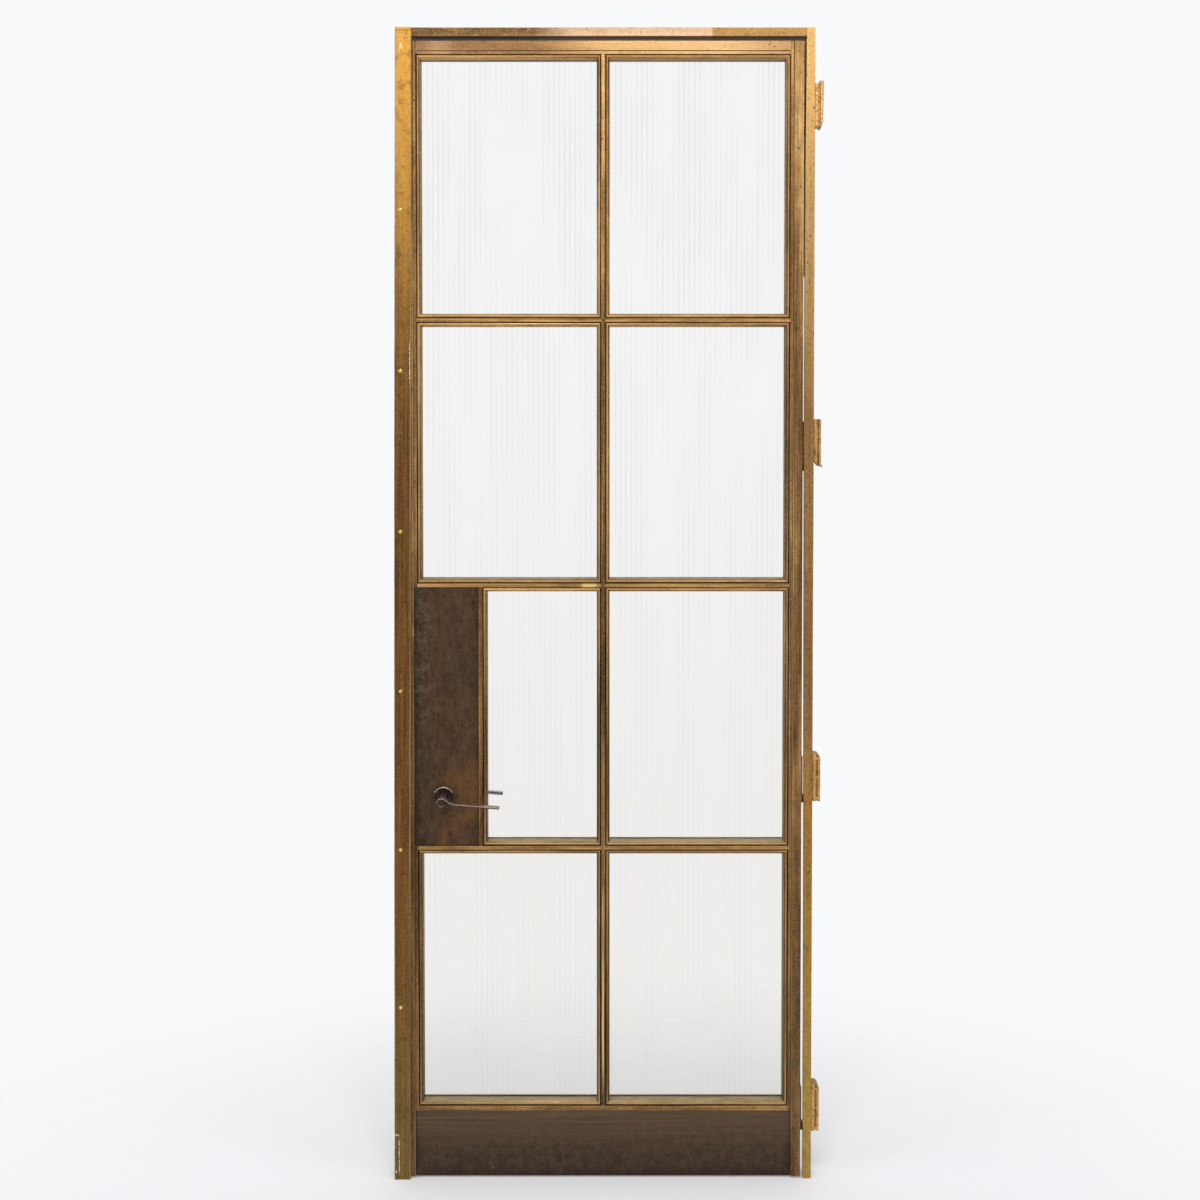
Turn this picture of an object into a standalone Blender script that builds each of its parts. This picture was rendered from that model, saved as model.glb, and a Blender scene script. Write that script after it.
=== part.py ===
"""A tall bronze-framed glazed door: a frame with wall lugs, a leaf with eight panes, and two lever handles.

Metres, +Z up. The front faces -Y. The origin is on the outer face of the latch jamb, at mid-height
and mid-depth. Depths called v are measured from the leaf's front towards the rear.
"""

import math

import bmesh
import bpy
from mathutils import Matrix, Vector

# Clearances
FIT = 0.0003
PIN_FIT = 0.0004

# Frame
FRAME_WIDTH = 1.013
FRAME_HEIGHT = 2.782
FRAME_DEPTH = 0.046
LATCH_JAMB_WIDTH = 0.020
HINGE_JAMB_WIDTH = 0.020
HEAD_HEIGHT = 0.020
JAMB_LIP = 0.010
JAMB_REBATE = 0.0055

# Stop strip on the latch jamb's front, with its screws
STRIP_WIDTH = 0.0395
STRIP_THICKNESS = 0.006
STRIP_CHAMFER = 0.0012
SCREW_COUNT = 6
SCREW_PITCH = 0.3853
SCREW_INSET = 0.0155
SCREW_TURN = 37.0
LOWEST_SCREW = 0.423
SCREW_HEAD_RADIUS = 0.0045
SCREW_HEAD_RISE = 0.0008
SCREW_SHANK_RADIUS = 0.002
SCREW_LENGTH = 0.018

# Leaf in its frame
LEAF_DEPTH = 0.044
LEAF_SETBACK = 0.0015
LATCH_GAP = 0.008
HINGE_GAP = 0.006
HEAD_GAP = 0.011
FLOOR_GAP = 0.004

# Leaf sections
STILE_FLAT = 0.0235
STILE_RIB = 0.0075
BEAD_WIDTH = 0.011
BAR_WEB = 0.009
RIB_SETBACK = 0.0015
GROOVE_HALF_WIDTH = 0.0008
GROOVE_DEPTH = 0.003
FLANGE = 0.006
TRANSOM_COUNT = 3
BOTTOM_RIB = 0.011
KICK_HEIGHT = 0.162
CORE_WEB = 0.009
FOOT_HEIGHT = 0.012

# Glass and glazing beads
GLASS_THICKNESS = 0.006
GLASS_LAP = 0.008
BEAD_SETBACK = 0.003
BEAD_RIDGE = 0.002
BEAD_SLOPE = 0.005
BEAD_FALL = 0.006
BEAD_SHOULDER = 0.004

# Lock plates and kick plates
PLATE_THICKNESS = 0.003
PLATE_RECESS = 0.005
LOCK_PLATE_WIDTH = 0.1555

# Lever handles
SPINDLE_INSET = 0.0935
SPINDLE_HEIGHT = 0.934
SPINDLE_SIDE = 0.008
SPINDLE_HOLE_RADIUS = 0.007
SOCKET_DEPTH = 0.015
ROSE_RADIUS = 0.026
ROSE_HEIGHT = 0.007
ROSE_RIM = 0.0025
ROSE_DISH = 0.002
ROSE_BORE_FIT = 0.0005
NECK_RADIUS = 0.008
NECK_FOOT_RADIUS = 0.010
LEVER_REACH = 0.060
LEVER_LENGTH = 0.138
LEVER_DROOP = 0.080
HUB_RADIUS = 0.012
HUB_DEPTH = 0.022
HUB_HOLLOW_RADIUS = 0.0075
HUB_HOLLOW_DEPTH = 0.003
STRAP_THICKNESS = 0.0034
STRAP_DROP = 0.0022
STRAP_WIDTH = 0.017
STRAP_TIP_WIDTH = 0.023

# Wall lugs and lift-off hinges, at the same four heights above the floor
LOWEST_LUG = 0.1725
LUG_DROP = 0.1819
LUG_COUNT = 4
LUG_HEIGHT = 0.116
LUG_REACH = 0.020
LUG_DEPTH = 0.040
LUG_GROOVE_START = 0.0095
LUG_GROOVE_WIDTH = 0.0035
LUG_GROOVE_DEPTH = 0.006
HINGE_RADIUS = 0.007
HINGE_PIN_RADIUS = 0.004
HINGE_REAR_GAP = 0.0015
HINGE_PLATE = 0.0025
HINGE_PLATE_FRONT = 0.003
HINGE_LEAF_HEIGHT = 0.104
HINGE_BLOCK_HEIGHT = 0.016
HINGE_BLOCK_DEPTH = 0.013
HINGE_BLOCK_GAP = 0.001
HINGE_DROP = 0.052
HINGE_PIN_LENGTH = 0.070

# Places across the door, from the latch jamb's outer face
JAMB_INNER = FRAME_WIDTH - HINGE_JAMB_WIDTH
LEAF_RIGHT = JAMB_INNER - HINGE_GAP
LEAF_LEFT = LATCH_JAMB_WIDTH + LATCH_GAP
STILE_WEB = STILE_FLAT + STILE_RIB
STILE_WIDTH = STILE_WEB + BEAD_WIDTH
BAR_WIDTH = BAR_WEB + 2 * BEAD_WIDTH
PANES_LEFT = LEAF_LEFT + STILE_WIDTH
PANES_RIGHT = LEAF_RIGHT - STILE_WIDTH
MULLION_X = (PANES_LEFT + PANES_RIGHT) / 2
PLATE_LEFT = LEAF_LEFT + STILE_FLAT
PLATE_RIGHT = LEAF_RIGHT - STILE_FLAT
LOCK_BAR_LEFT = PLATE_LEFT + LOCK_PLATE_WIDTH
NARROW_LEFT = LOCK_BAR_LEFT + BAR_WEB + BEAD_WIDTH
SPINDLE_X = LEAF_LEFT + SPINDLE_INSET

# Places through the door, from its mid-depth
FRAME_FRONT = -FRAME_DEPTH / 2
FRAME_REAR = FRAME_DEPTH / 2
LEAF_FRONT = FRAME_FRONT + LEAF_SETBACK
LEAF_REAR = LEAF_FRONT + LEAF_DEPTH
LEAF_MIDDLE = (LEAF_FRONT + LEAF_REAR) / 2
FLANGE_FRONT = LEAF_REAR - FLANGE
GLASS_REAR = FLANGE_FRONT - FIT
GLASS_FRONT = GLASS_REAR - GLASS_THICKNESS
BEAD_BACK = GLASS_FRONT - FIT
BEAD_FRONT = LEAF_FRONT + BEAD_SETBACK
FRONT_PLATE_FACE = LEAF_FRONT + PLATE_RECESS
FRONT_RECESS = PLATE_RECESS + PLATE_THICKNESS + FIT
REAR_RECESS = LEAF_DEPTH - PLATE_THICKNESS - FIT
HINGE_Y = LEAF_REAR + HINGE_REAR_GAP + HINGE_RADIUS
PLATE_ON_EDGE = LEAF_RIGHT + FIT + HINGE_PLATE
HINGE_X = PLATE_ON_EDGE - HINGE_RADIUS

# Places up the door, from its mid-height
FLOOR = -FRAME_HEIGHT / 2
TOP = FRAME_HEIGHT / 2
LEAF_TOP = TOP - HEAD_HEIGHT - HEAD_GAP
LEAF_BOTTOM = FLOOR + FLOOR_GAP
PANES_TOP = LEAF_TOP - STILE_WIDTH
BOTTOM_RAIL = KICK_HEIGHT + BOTTOM_RIB + BEAD_WIDTH
PANES_BOTTOM = LEAF_BOTTOM + BOTTOM_RAIL
PANE_HEIGHT = (PANES_TOP - PANES_BOTTOM - TRANSOM_COUNT * BAR_WIDTH) / (TRANSOM_COUNT + 1)
SPINDLE_Z = FLOOR + SPINDLE_HEIGHT

# Turns that lay an outline's own X, Y and Z along the world's
UPRIGHT = (0.0, 0.0, 0.0)
ACROSS = (math.pi / 2, 0.0, math.pi / 2)
FRONTAL = (math.pi / 2, 0.0, 0.0)

SIDES = 24
MARGIN = 0.01
ROWS = ("top", "upper", "lock", "bottom")
LOCK_ROW = 2


def clear_scene():
    for thing in list(bpy.data.objects):
        bpy.data.objects.remove(thing, do_unlink=True)


def new_collection(name):
    found = bpy.data.collections.new(name)
    bpy.context.scene.collection.children.link(found)
    return found


def new_material(name, colour, roughness, metallic=1.0, alpha=1.0):
    material = bpy.data.materials.new(name)
    material.use_nodes = True
    shader = material.node_tree.nodes["Principled BSDF"]
    shader.inputs["Base Color"].default_value = (*colour, 1.0)
    shader.inputs["Roughness"].default_value = roughness
    shader.inputs["Metallic"].default_value = metallic
    shader.inputs["Alpha"].default_value = alpha
    return material


class Door:
    """Holds the collections, the materials and the two moving empties."""

    def __init__(self):
        self.parts = new_collection("brass_framed_glass_door")
        self.cutters = new_collection("cutters")
        self.cutter_count = 0
        self.bronze = new_material("patinated_bronze", (0.25, 0.14, 0.06), 0.38)
        self.strip_brass = new_material("stop_strip_brass", (0.55, 0.33, 0.11), 0.35)
        self.plate = new_material("dark_bronze_plate", (0.055, 0.035, 0.022), 0.45)
        self.handle = new_material("dark_handle_bronze", (0.06, 0.045, 0.035), 0.35)
        self.cast = new_material("rough_cast_brass", (0.62, 0.38, 0.14), 0.6)
        self.screw = new_material("worn_screw_brass", (0.80, 0.60, 0.22), 0.3)
        self.glass = new_material("reeded_glass", (0.90, 0.91, 0.89), 0.1, 0.0, 0.35)
        self.frame = self.empty("door_frame", (0.0, 0.0, 0.0), None)
        self.leaf = self.empty("door_leaf_axis", (HINGE_X, HINGE_Y, 0.0), self.frame)
        self.lever = self.empty("lever_axis", (SPINDLE_X, LEAF_MIDDLE, SPINDLE_Z), self.leaf)

    def empty(self, name, place, parent):
        thing = bpy.data.objects.new(name, None)
        self.parts.objects.link(thing)
        thing.parent = parent
        thing.location = Vector(place) - world_place(parent)
        return thing

    def add(self, name, mesh, place, turn, material, parent):
        """A finished piece at a world place, under the empty that carries it."""
        piece = bpy.data.objects.new(name, mesh)
        mesh.name = name
        mesh.materials.append(material)
        self.parts.objects.link(piece)
        piece.parent = parent
        piece.location = Vector(place) - world_place(parent)
        piece.rotation_euler = turn
        return piece

    def cutter(self, mesh, place, turn=UPRIGHT):
        self.cutter_count += 1
        thing = bpy.data.objects.new(f"cutter_{self.cutter_count}", mesh)
        self.cutters.objects.link(thing)
        thing.location = place
        thing.rotation_euler = turn
        thing.hide_render = True
        thing.display_type = "WIRE"
        return thing


def world_place(thing):
    place = Vector((0.0, 0.0, 0.0))
    while thing is not None:
        place += thing.location
        thing = thing.parent
    return place


def box_mesh(low, high):
    """A box between two corners, and the place of its centre."""
    low, high = Vector(low), Vector(high)
    bm = bmesh.new()
    bmesh.ops.create_cube(bm, size=1.0, matrix=Matrix.Diagonal((*(high - low), 1.0)))
    mesh = bpy.data.meshes.new("box")
    bm.to_mesh(mesh)
    bm.free()
    return mesh, (low + high) / 2


def round_mesh(radius, length, end_radius=None):
    """A cylinder or a cone along Z from 0 to its length."""
    bm = bmesh.new()
    bmesh.ops.create_cone(
        bm,
        cap_ends=True,
        segments=SIDES,
        radius1=radius,
        radius2=radius if end_radius is None else end_radius,
        depth=length,
        matrix=Matrix.Translation((0.0, 0.0, length / 2)),
    )
    return smooth_mesh(bm, "round")


def smooth_mesh(bm, name):
    mesh = bpy.data.meshes.new(name)
    bm.to_mesh(mesh)
    bm.free()
    mesh.shade_smooth()
    mesh.set_sharp_from_angle(angle=math.radians(30))
    return mesh


def outline_mesh(outline, thickness, holes=()):
    """A flat outline in X and Y, with any holes, drawn out along Z from 0 to its thickness."""
    curve = bpy.data.curves.new("outline", "CURVE")
    curve.dimensions = "2D"
    curve.fill_mode = "BOTH"
    curve.extrude = thickness / 2
    for points in (outline, *holes):
        spline = curve.splines.new("POLY")
        spline.points.add(len(points) - 1)
        for point, (x, y) in zip(spline.points, points):
            point.co = (x, y, 0.0, 1.0)
        spline.use_cyclic_u = True
    guide = bpy.data.objects.new("outline", curve)
    bpy.context.scene.collection.objects.link(guide)
    found = guide.evaluated_get(bpy.context.evaluated_depsgraph_get())
    mesh = bpy.data.meshes.new_from_object(found)
    bpy.data.objects.remove(guide, do_unlink=True)
    bm = bmesh.new()
    bm.from_mesh(mesh)
    bpy.data.meshes.remove(mesh)
    bmesh.ops.remove_doubles(bm, verts=bm.verts, dist=1e-6)
    for level in () if holes else (-1.0, 1.0):
        cap = [face for face in bm.faces if all(v.co.z * level > 0.0 for v in face.verts)]
        bmesh.ops.dissolve_faces(bm, faces=cap)
    bmesh.ops.recalc_face_normals(bm, faces=bm.faces)
    bmesh.ops.translate(bm, verts=bm.verts, vec=(0.0, 0.0, thickness / 2))
    return smooth_mesh(bm, "outline")


def arc(centre, radius, first, last, steps):
    """Points on a circle between two angles in degrees, both ends included."""
    turns = (math.radians(first + (last - first) * i / steps) for i in range(steps + 1))
    return [(centre[0] + radius * math.cos(a), centre[1] + radius * math.sin(a)) for a in turns]


def combine(piece, tool, operation):
    change = piece.modifiers.new(operation.lower(), "BOOLEAN")
    change.operation = operation
    change.object = tool


def cut_box(door, piece, low, high):
    combine(piece, door.cutter(*box_mesh(low, high)), "DIFFERENCE")


def add_box(door, name, low, high, material, parent):
    mesh, centre = box_mesh(low, high)
    return door.add(name, mesh, centre, UPRIGHT, material, parent)


def stile_section():
    """Stile or top rail: u runs from the outer edge to the pane, v from the front to the rear."""
    return [
        (0.0, 0.0),
        (STILE_FLAT - GROOVE_HALF_WIDTH, 0.0),
        (STILE_FLAT, GROOVE_DEPTH),
        (STILE_FLAT + GROOVE_HALF_WIDTH, RIB_SETBACK),
        (STILE_WEB, RIB_SETBACK),
        (STILE_WEB, LEAF_DEPTH - FLANGE),
        (STILE_WIDTH, LEAF_DEPTH - FLANGE),
        (STILE_WIDTH, LEAF_DEPTH),
        (0.0, LEAF_DEPTH),
    ]


def bar_section():
    """Glazing bar: a web that shows as a rib, and a rear flange for the glass on both sides."""
    half_web, half_bar = BAR_WEB / 2, BAR_WIDTH / 2
    return [
        (-half_web, RIB_SETBACK),
        (half_web, RIB_SETBACK),
        (half_web, LEAF_DEPTH - FLANGE),
        (half_bar, LEAF_DEPTH - FLANGE),
        (half_bar, LEAF_DEPTH),
        (-half_bar, LEAF_DEPTH),
        (-half_bar, LEAF_DEPTH - FLANGE),
        (-half_web, LEAF_DEPTH - FLANGE),
    ]


def lock_bar_section():
    """The bar beside the lock plates holds glass on one side only."""
    return [
        (0.0, RIB_SETBACK),
        (BAR_WEB, RIB_SETBACK),
        (BAR_WEB, LEAF_DEPTH - FLANGE),
        (BAR_WEB + BEAD_WIDTH, LEAF_DEPTH - FLANGE),
        (BAR_WEB + BEAD_WIDTH, LEAF_DEPTH),
        (0.0, LEAF_DEPTH),
    ]


def bottom_section():
    """Bottom rail as v and height: a rib and flange above a web and foot that carry two plates."""
    web_front = (LEAF_DEPTH - CORE_WEB) / 2
    web_rear = web_front + CORE_WEB
    rib_top = KICK_HEIGHT + BOTTOM_RIB
    return [
        (RIB_SETBACK, KICK_HEIGHT),
        (RIB_SETBACK, rib_top),
        (LEAF_DEPTH - FLANGE, rib_top),
        (LEAF_DEPTH - FLANGE, BOTTOM_RAIL),
        (LEAF_DEPTH, BOTTOM_RAIL),
        (LEAF_DEPTH, KICK_HEIGHT),
        (web_rear, KICK_HEIGHT),
        (web_rear, FOOT_HEIGHT),
        (REAR_RECESS, FOOT_HEIGHT),
        (REAR_RECESS, 0.0),
        (FRONT_RECESS, 0.0),
        (FRONT_RECESS, FOOT_HEIGHT),
        (web_front, FOOT_HEIGHT),
        (web_front, KICK_HEIGHT),
    ]


def row_span(row):
    """Bottom and top of a row of panes, counted from the top row."""
    top = PANES_TOP - row * (PANE_HEIGHT + BAR_WIDTH)
    return top - PANE_HEIGHT, top


def transom_height(index):
    return row_span(index)[0] - BAR_WIDTH / 2


def lock_plate_span():
    """Bottom and top of the lock plates, between the webs of the transoms above and below."""
    low, high = row_span(LOCK_ROW)
    return low - BEAD_WIDTH + FIT, high + BEAD_WIDTH - FIT


def cut_plate_seats(door, piece, left, right, low, high):
    """Sinks a piece behind a plate at the front and another at the rear."""
    front = LEAF_FRONT + FRONT_RECESS
    rear = LEAF_FRONT + REAR_RECESS
    cut_box(door, piece, (left, LEAF_FRONT - MARGIN, low), (right, front, high))
    cut_box(door, piece, (left, rear, low), (right, LEAF_REAR + MARGIN, high))


def add_stiles(door):
    height = LEAF_TOP - LEAF_BOTTOM
    latch = door.add(
        "latch_stile",
        outline_mesh(stile_section(), height),
        (LEAF_LEFT, LEAF_FRONT, LEAF_BOTTOM),
        UPRIGHT,
        door.bronze,
        door.leaf,
    )
    mirrored = [(-u, v) for u, v in stile_section()]
    hinge = door.add(
        "hinge_stile",
        outline_mesh(mirrored, height),
        (LEAF_RIGHT, LEAF_FRONT, LEAF_BOTTOM),
        UPRIGHT,
        door.bronze,
        door.leaf,
    )
    kick_top = LEAF_BOTTOM + KICK_HEIGHT
    below = LEAF_BOTTOM - MARGIN
    cut_plate_seats(door, latch, PLATE_LEFT, PANES_LEFT + MARGIN, below, kick_top)
    cut_plate_seats(door, hinge, PANES_RIGHT - MARGIN, PLATE_RIGHT, below, kick_top)
    low, high = lock_plate_span()
    cut_plate_seats(door, latch, PLATE_LEFT, PANES_LEFT + MARGIN, low - FIT, high + FIT)


def cope(door, piece, lows, highs):
    """Cuts a piece's rear part back where it would meet a neighbour's flange."""
    low = (lows[0], FLANGE_FRONT - FIT, lows[1])
    high = (highs[0], LEAF_REAR + MARGIN, highs[1])
    cut_box(door, piece, low, high)


def add_rail(door, name, section, height, low_z, high_z):
    """A rail between the stiles' webs, coped round their flanges."""
    left = LEAF_LEFT + STILE_WEB + FIT
    right = LEAF_RIGHT - STILE_WEB - FIT
    rail = door.add(
        name,
        outline_mesh(section, right - left),
        (left, LEAF_FRONT, height),
        ACROSS,
        door.bronze,
        door.leaf,
    )
    cope(door, rail, (left - MARGIN, low_z - MARGIN), (PANES_LEFT + FIT, high_z + MARGIN))
    cope(door, rail, (PANES_RIGHT - FIT, low_z - MARGIN), (right + MARGIN, high_z + MARGIN))
    return rail


def add_rails(door):
    top_section = [(v, -u) for u, v in stile_section()]
    add_rail(door, "top_rail", top_section, LEAF_TOP, PANES_TOP, LEAF_TOP)
    add_rail(door, "bottom_rail", bottom_section(), LEAF_BOTTOM, LEAF_BOTTOM, PANES_BOTTOM)


def add_mullion(door):
    low = PANES_BOTTOM - BEAD_WIDTH + FIT
    high = PANES_TOP + BEAD_WIDTH - FIT
    mullion = door.add(
        "mullion",
        outline_mesh(bar_section(), high - low),
        (MULLION_X, LEAF_FRONT, low),
        UPRIGHT,
        door.bronze,
        door.leaf,
    )
    left, right = MULLION_X - BAR_WIDTH, MULLION_X + BAR_WIDTH
    cope(door, mullion, (left, low - MARGIN), (right, PANES_BOTTOM + FIT))
    cope(door, mullion, (left, PANES_TOP - FIT), (right, high + MARGIN))


def add_transom(door, name, height, web_left, web_right, flange_left, flange_right):
    section = [(v, u) for u, v in bar_section()]
    transom = door.add(
        name,
        outline_mesh(section, web_right - web_left),
        (web_left, LEAF_FRONT, height),
        ACROSS,
        door.bronze,
        door.leaf,
    )
    low, high = height - BAR_WIDTH, height + BAR_WIDTH
    cope(door, transom, (web_left - MARGIN, low), (flange_left, high))
    cope(door, transom, (flange_right, low), (web_right + MARGIN, high))
    return transom


def add_transoms(door):
    web, flange = BAR_WEB / 2 + FIT, BAR_WIDTH / 2 + FIT
    for index in range(TRANSOM_COUNT):
        height = transom_height(index)
        left = add_transom(
            door,
            f"transom_{index + 1}_left",
            height,
            LEAF_LEFT + STILE_WEB + FIT,
            MULLION_X - web,
            PANES_LEFT + FIT,
            MULLION_X - flange,
        )
        add_transom(
            door,
            f"transom_{index + 1}_right",
            height,
            MULLION_X + web,
            LEAF_RIGHT - STILE_WEB - FIT,
            MULLION_X + flange,
            PANES_RIGHT - FIT,
        )
        if index + 1 in (LOCK_ROW, LOCK_ROW + 1):
            seat_rear_plate(door, left)


def seat_rear_plate(door, transom):
    low, high = lock_plate_span()
    rear = LEAF_FRONT + REAR_RECESS
    corner = (PLATE_LEFT, rear, low - FIT)
    cut_box(door, transom, corner, (LOCK_BAR_LEFT, LEAF_REAR + MARGIN, high + FIT))


def add_lock_bar(door):
    low, high = lock_plate_span()
    bar = door.add(
        "lock_bar",
        outline_mesh(lock_bar_section(), high - low),
        (LOCK_BAR_LEFT, LEAF_FRONT, low),
        UPRIGHT,
        door.bronze,
        door.leaf,
    )
    sight_low, sight_high = row_span(LOCK_ROW)
    left, right = LOCK_BAR_LEFT - MARGIN, NARROW_LEFT + MARGIN
    cope(door, bar, (left, low - MARGIN), (right, sight_low + FIT))
    cope(door, bar, (left, sight_high - FIT), (right, high + MARGIN))


def pane_spans():
    """Name, left, right, bottom and top of each pane's sight size."""
    left_edge = MULLION_X - BAR_WIDTH / 2
    right_edge = MULLION_X + BAR_WIDTH / 2
    for row, name in enumerate(ROWS):
        low, high = row_span(row)
        outer = NARROW_LEFT if row == LOCK_ROW else PANES_LEFT
        yield f"{name}_left", outer, left_edge, low, high
        yield f"{name}_right", right_edge, PANES_RIGHT, low, high


def bead_ring_mesh(width, height):
    """A mitred ring of glazing bead round a sight size, lying in X and Y with its ridge upwards."""
    depth = BEAD_BACK - BEAD_FRONT
    side = BEAD_WIDTH - FIT
    bm = bmesh.new()
    size = Matrix.Diagonal((width + 2 * side, height + 2 * side, depth - BEAD_SHOULDER, 1.0))
    lift = Matrix.Translation((0.0, 0.0, (depth - BEAD_SHOULDER) / 2))
    bmesh.ops.create_cube(bm, size=1.0, matrix=lift @ size)
    back = min(bm.faces, key=lambda face: face.calc_center_median().z)
    front = max(bm.faces, key=lambda face: face.calc_center_median().z)
    step_in(bm, back, side, 0.0)
    step_in(bm, front, side - BEAD_RIDGE - BEAD_SLOPE, BEAD_SHOULDER)
    step_in(bm, front, BEAD_RIDGE, 0.0)
    step_in(bm, front, BEAD_SLOPE, -BEAD_FALL)
    edges = list({*front.edges, *back.edges})
    bmesh.ops.delete(bm, geom=[front, back], context="FACES_ONLY")
    bmesh.ops.bridge_loops(bm, edges=edges)
    bmesh.ops.recalc_face_normals(bm, faces=bm.faces)
    mesh = bpy.data.meshes.new("bead_ring")
    bm.to_mesh(mesh)
    bm.free()
    return mesh


def step_in(bm, face, inwards, upwards):
    bmesh.ops.inset_individual(
        bm, faces=[face], thickness=inwards, depth=upwards, use_even_offset=True
    )


def add_glazing(door):
    for name, left, right, low, high in pane_spans():
        centre = ((left + right) / 2, BEAD_BACK, (low + high) / 2)
        ring = bead_ring_mesh(right - left, high - low)
        door.add(f"bead_ring_{name}", ring, centre, FRONTAL, door.bronze, door.leaf)
        add_box(
            door,
            f"glass_{name}",
            (left - GLASS_LAP, GLASS_FRONT, low - GLASS_LAP),
            (right + GLASS_LAP, GLASS_REAR, high + GLASS_LAP),
            door.glass,
            door.leaf,
        )


def add_plate(door, name, front, left, right, low, high):
    corner = (left, front, low)
    return add_box(
        door, name, corner, (right, front + PLATE_THICKNESS, high), door.plate, door.leaf
    )


def add_plates(door):
    rear_face = LEAF_REAR - PLATE_THICKNESS
    left = PLATE_LEFT + FIT
    low, high = lock_plate_span()
    for name, face in (("front", FRONT_PLATE_FACE), ("rear", rear_face)):
        lock = add_plate(door, f"lock_plate_{name}", face, left, LOCK_BAR_LEFT - FIT, low, high)
        hole = round_mesh(SPINDLE_HOLE_RADIUS, LEAF_DEPTH + 2 * MARGIN)
        place = (SPINDLE_X, LEAF_REAR + MARGIN, SPINDLE_Z)
        combine(lock, door.cutter(hole, place, FRONTAL), "DIFFERENCE")
        top = LEAF_BOTTOM + KICK_HEIGHT - FIT
        kick = f"kick_plate_{name}"
        add_plate(door, kick, face, left, PLATE_RIGHT - FIT, LEAF_BOTTOM, top)


def screw_heights():
    return [FLOOR + LOWEST_SCREW + i * SCREW_PITCH for i in range(SCREW_COUNT)]


def turned_mesh(profile, closed=False):
    """A profile of radius and height, run from the top down its outer side, ready to be turned."""
    bm = bmesh.new()
    verts = [bm.verts.new((radius, 0.0, height)) for radius, height in profile]
    ends = verts[1:] + verts[:1] if closed else verts[1:]
    for pair in zip(verts, ends):
        bm.edges.new(pair)
    mesh = bpy.data.meshes.new("profile")
    bm.to_mesh(mesh)
    bm.free()
    return mesh


def turn(piece, steps):
    """Turns a profile once round its own Z."""
    screw = piece.modifiers.new("turn", "SCREW")
    screw.steps = steps
    screw.render_steps = steps
    screw.use_merge_vertices = True
    screw.merge_threshold = 1e-5
    screw.use_smooth_shade = True


def screw_profile():
    """Half of a raised countersunk screw, tip at the top and head at the bottom."""
    cone = SCREW_HEAD_RADIUS - SCREW_SHANK_RADIUS
    return [
        (0.0, SCREW_LENGTH),
        (SCREW_SHANK_RADIUS, SCREW_LENGTH),
        (SCREW_SHANK_RADIUS, cone),
        (SCREW_HEAD_RADIUS, 0.0),
        (SCREW_HEAD_RADIUS * 0.6, -SCREW_HEAD_RISE),
        (0.0, -SCREW_HEAD_RISE),
    ]


def screw_hole_profile():
    """Half of the countersunk hole for a screw, past both ends of it."""
    shank = SCREW_SHANK_RADIUS + FIT
    mouth = SCREW_HEAD_RADIUS + FIT + MARGIN
    cone = mouth - shank
    return [
        (0.0, SCREW_LENGTH + FIT),
        (shank, SCREW_LENGTH + FIT),
        (shank, cone - MARGIN),
        (mouth, -MARGIN),
        (0.0, -MARGIN),
    ]


def add_frame(door):
    jamb = add_box(
        door,
        "latch_jamb",
        (0.0, FRAME_FRONT, FLOOR),
        (LATCH_JAMB_WIDTH, FRAME_REAR, TOP),
        door.bronze,
        door.frame,
    )
    hinge_jamb = add_box(
        door,
        "hinge_jamb",
        (JAMB_INNER, FRAME_FRONT, FLOOR),
        (FRAME_WIDTH, FRAME_REAR, TOP),
        door.bronze,
        door.frame,
    )
    cut_box(
        door,
        hinge_jamb,
        (JAMB_INNER - MARGIN, FRAME_FRONT + JAMB_LIP, FLOOR - MARGIN),
        (JAMB_INNER + JAMB_REBATE, FRAME_REAR + MARGIN, TOP - HEAD_HEIGHT),
    )
    add_box(
        door,
        "head",
        (LATCH_JAMB_WIDTH + FIT, FRAME_FRONT, TOP - HEAD_HEIGHT),
        (JAMB_INNER - FIT, FRAME_REAR, TOP),
        door.bronze,
        door.frame,
    )
    strip_face = FRAME_FRONT - FIT - STRIP_THICKNESS
    strip = door.add(
        "stop_strip",
        outline_mesh(strip_section(), FRAME_HEIGHT),
        (0.0, strip_face, FLOOR),
        UPRIGHT,
        door.strip_brass,
        door.frame,
    )
    for index, height in enumerate(screw_heights()):
        place = (SCREW_INSET, strip_face, height)
        into_wall = (-math.pi / 2, math.radians(SCREW_TURN * index), 0.0)
        cutter = door.cutter(turned_mesh(screw_hole_profile()), place, into_wall)
        turn(cutter, SIDES // 2)
        combine(strip, cutter, "DIFFERENCE")
        combine(jamb, cutter, "DIFFERENCE")
        name = f"stop_screw_{index + 1}"
        profile = turned_mesh(screw_profile())
        screw = door.add(name, profile, place, into_wall, door.screw, door.frame)
        turn(screw, SIDES // 2)


def strip_section():
    far = STRIP_WIDTH - STRIP_CHAMFER
    return [
        (STRIP_CHAMFER, 0.0),
        (far, 0.0),
        (STRIP_WIDTH, STRIP_CHAMFER),
        (STRIP_WIDTH, STRIP_THICKNESS),
        (0.0, STRIP_THICKNESS),
        (0.0, STRIP_CHAMFER),
    ]


def lug_heights():
    lowest = FLOOR + LOWEST_LUG
    pitch = (TOP - LUG_DROP - lowest) / (LUG_COUNT - 1)
    return [lowest + i * pitch for i in range(LUG_COUNT)]


def rounded_lug():
    """Front view of the two lower lugs, with the upper outer corner rounded."""
    half, corner = LUG_HEIGHT / 2, LUG_REACH * 0.6
    turn = arc((LUG_REACH - corner, half - corner), corner, 0, 90, 5)
    return [(FIT, -half), (LUG_REACH, -half), *turn, (FIT, half)]


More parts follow.
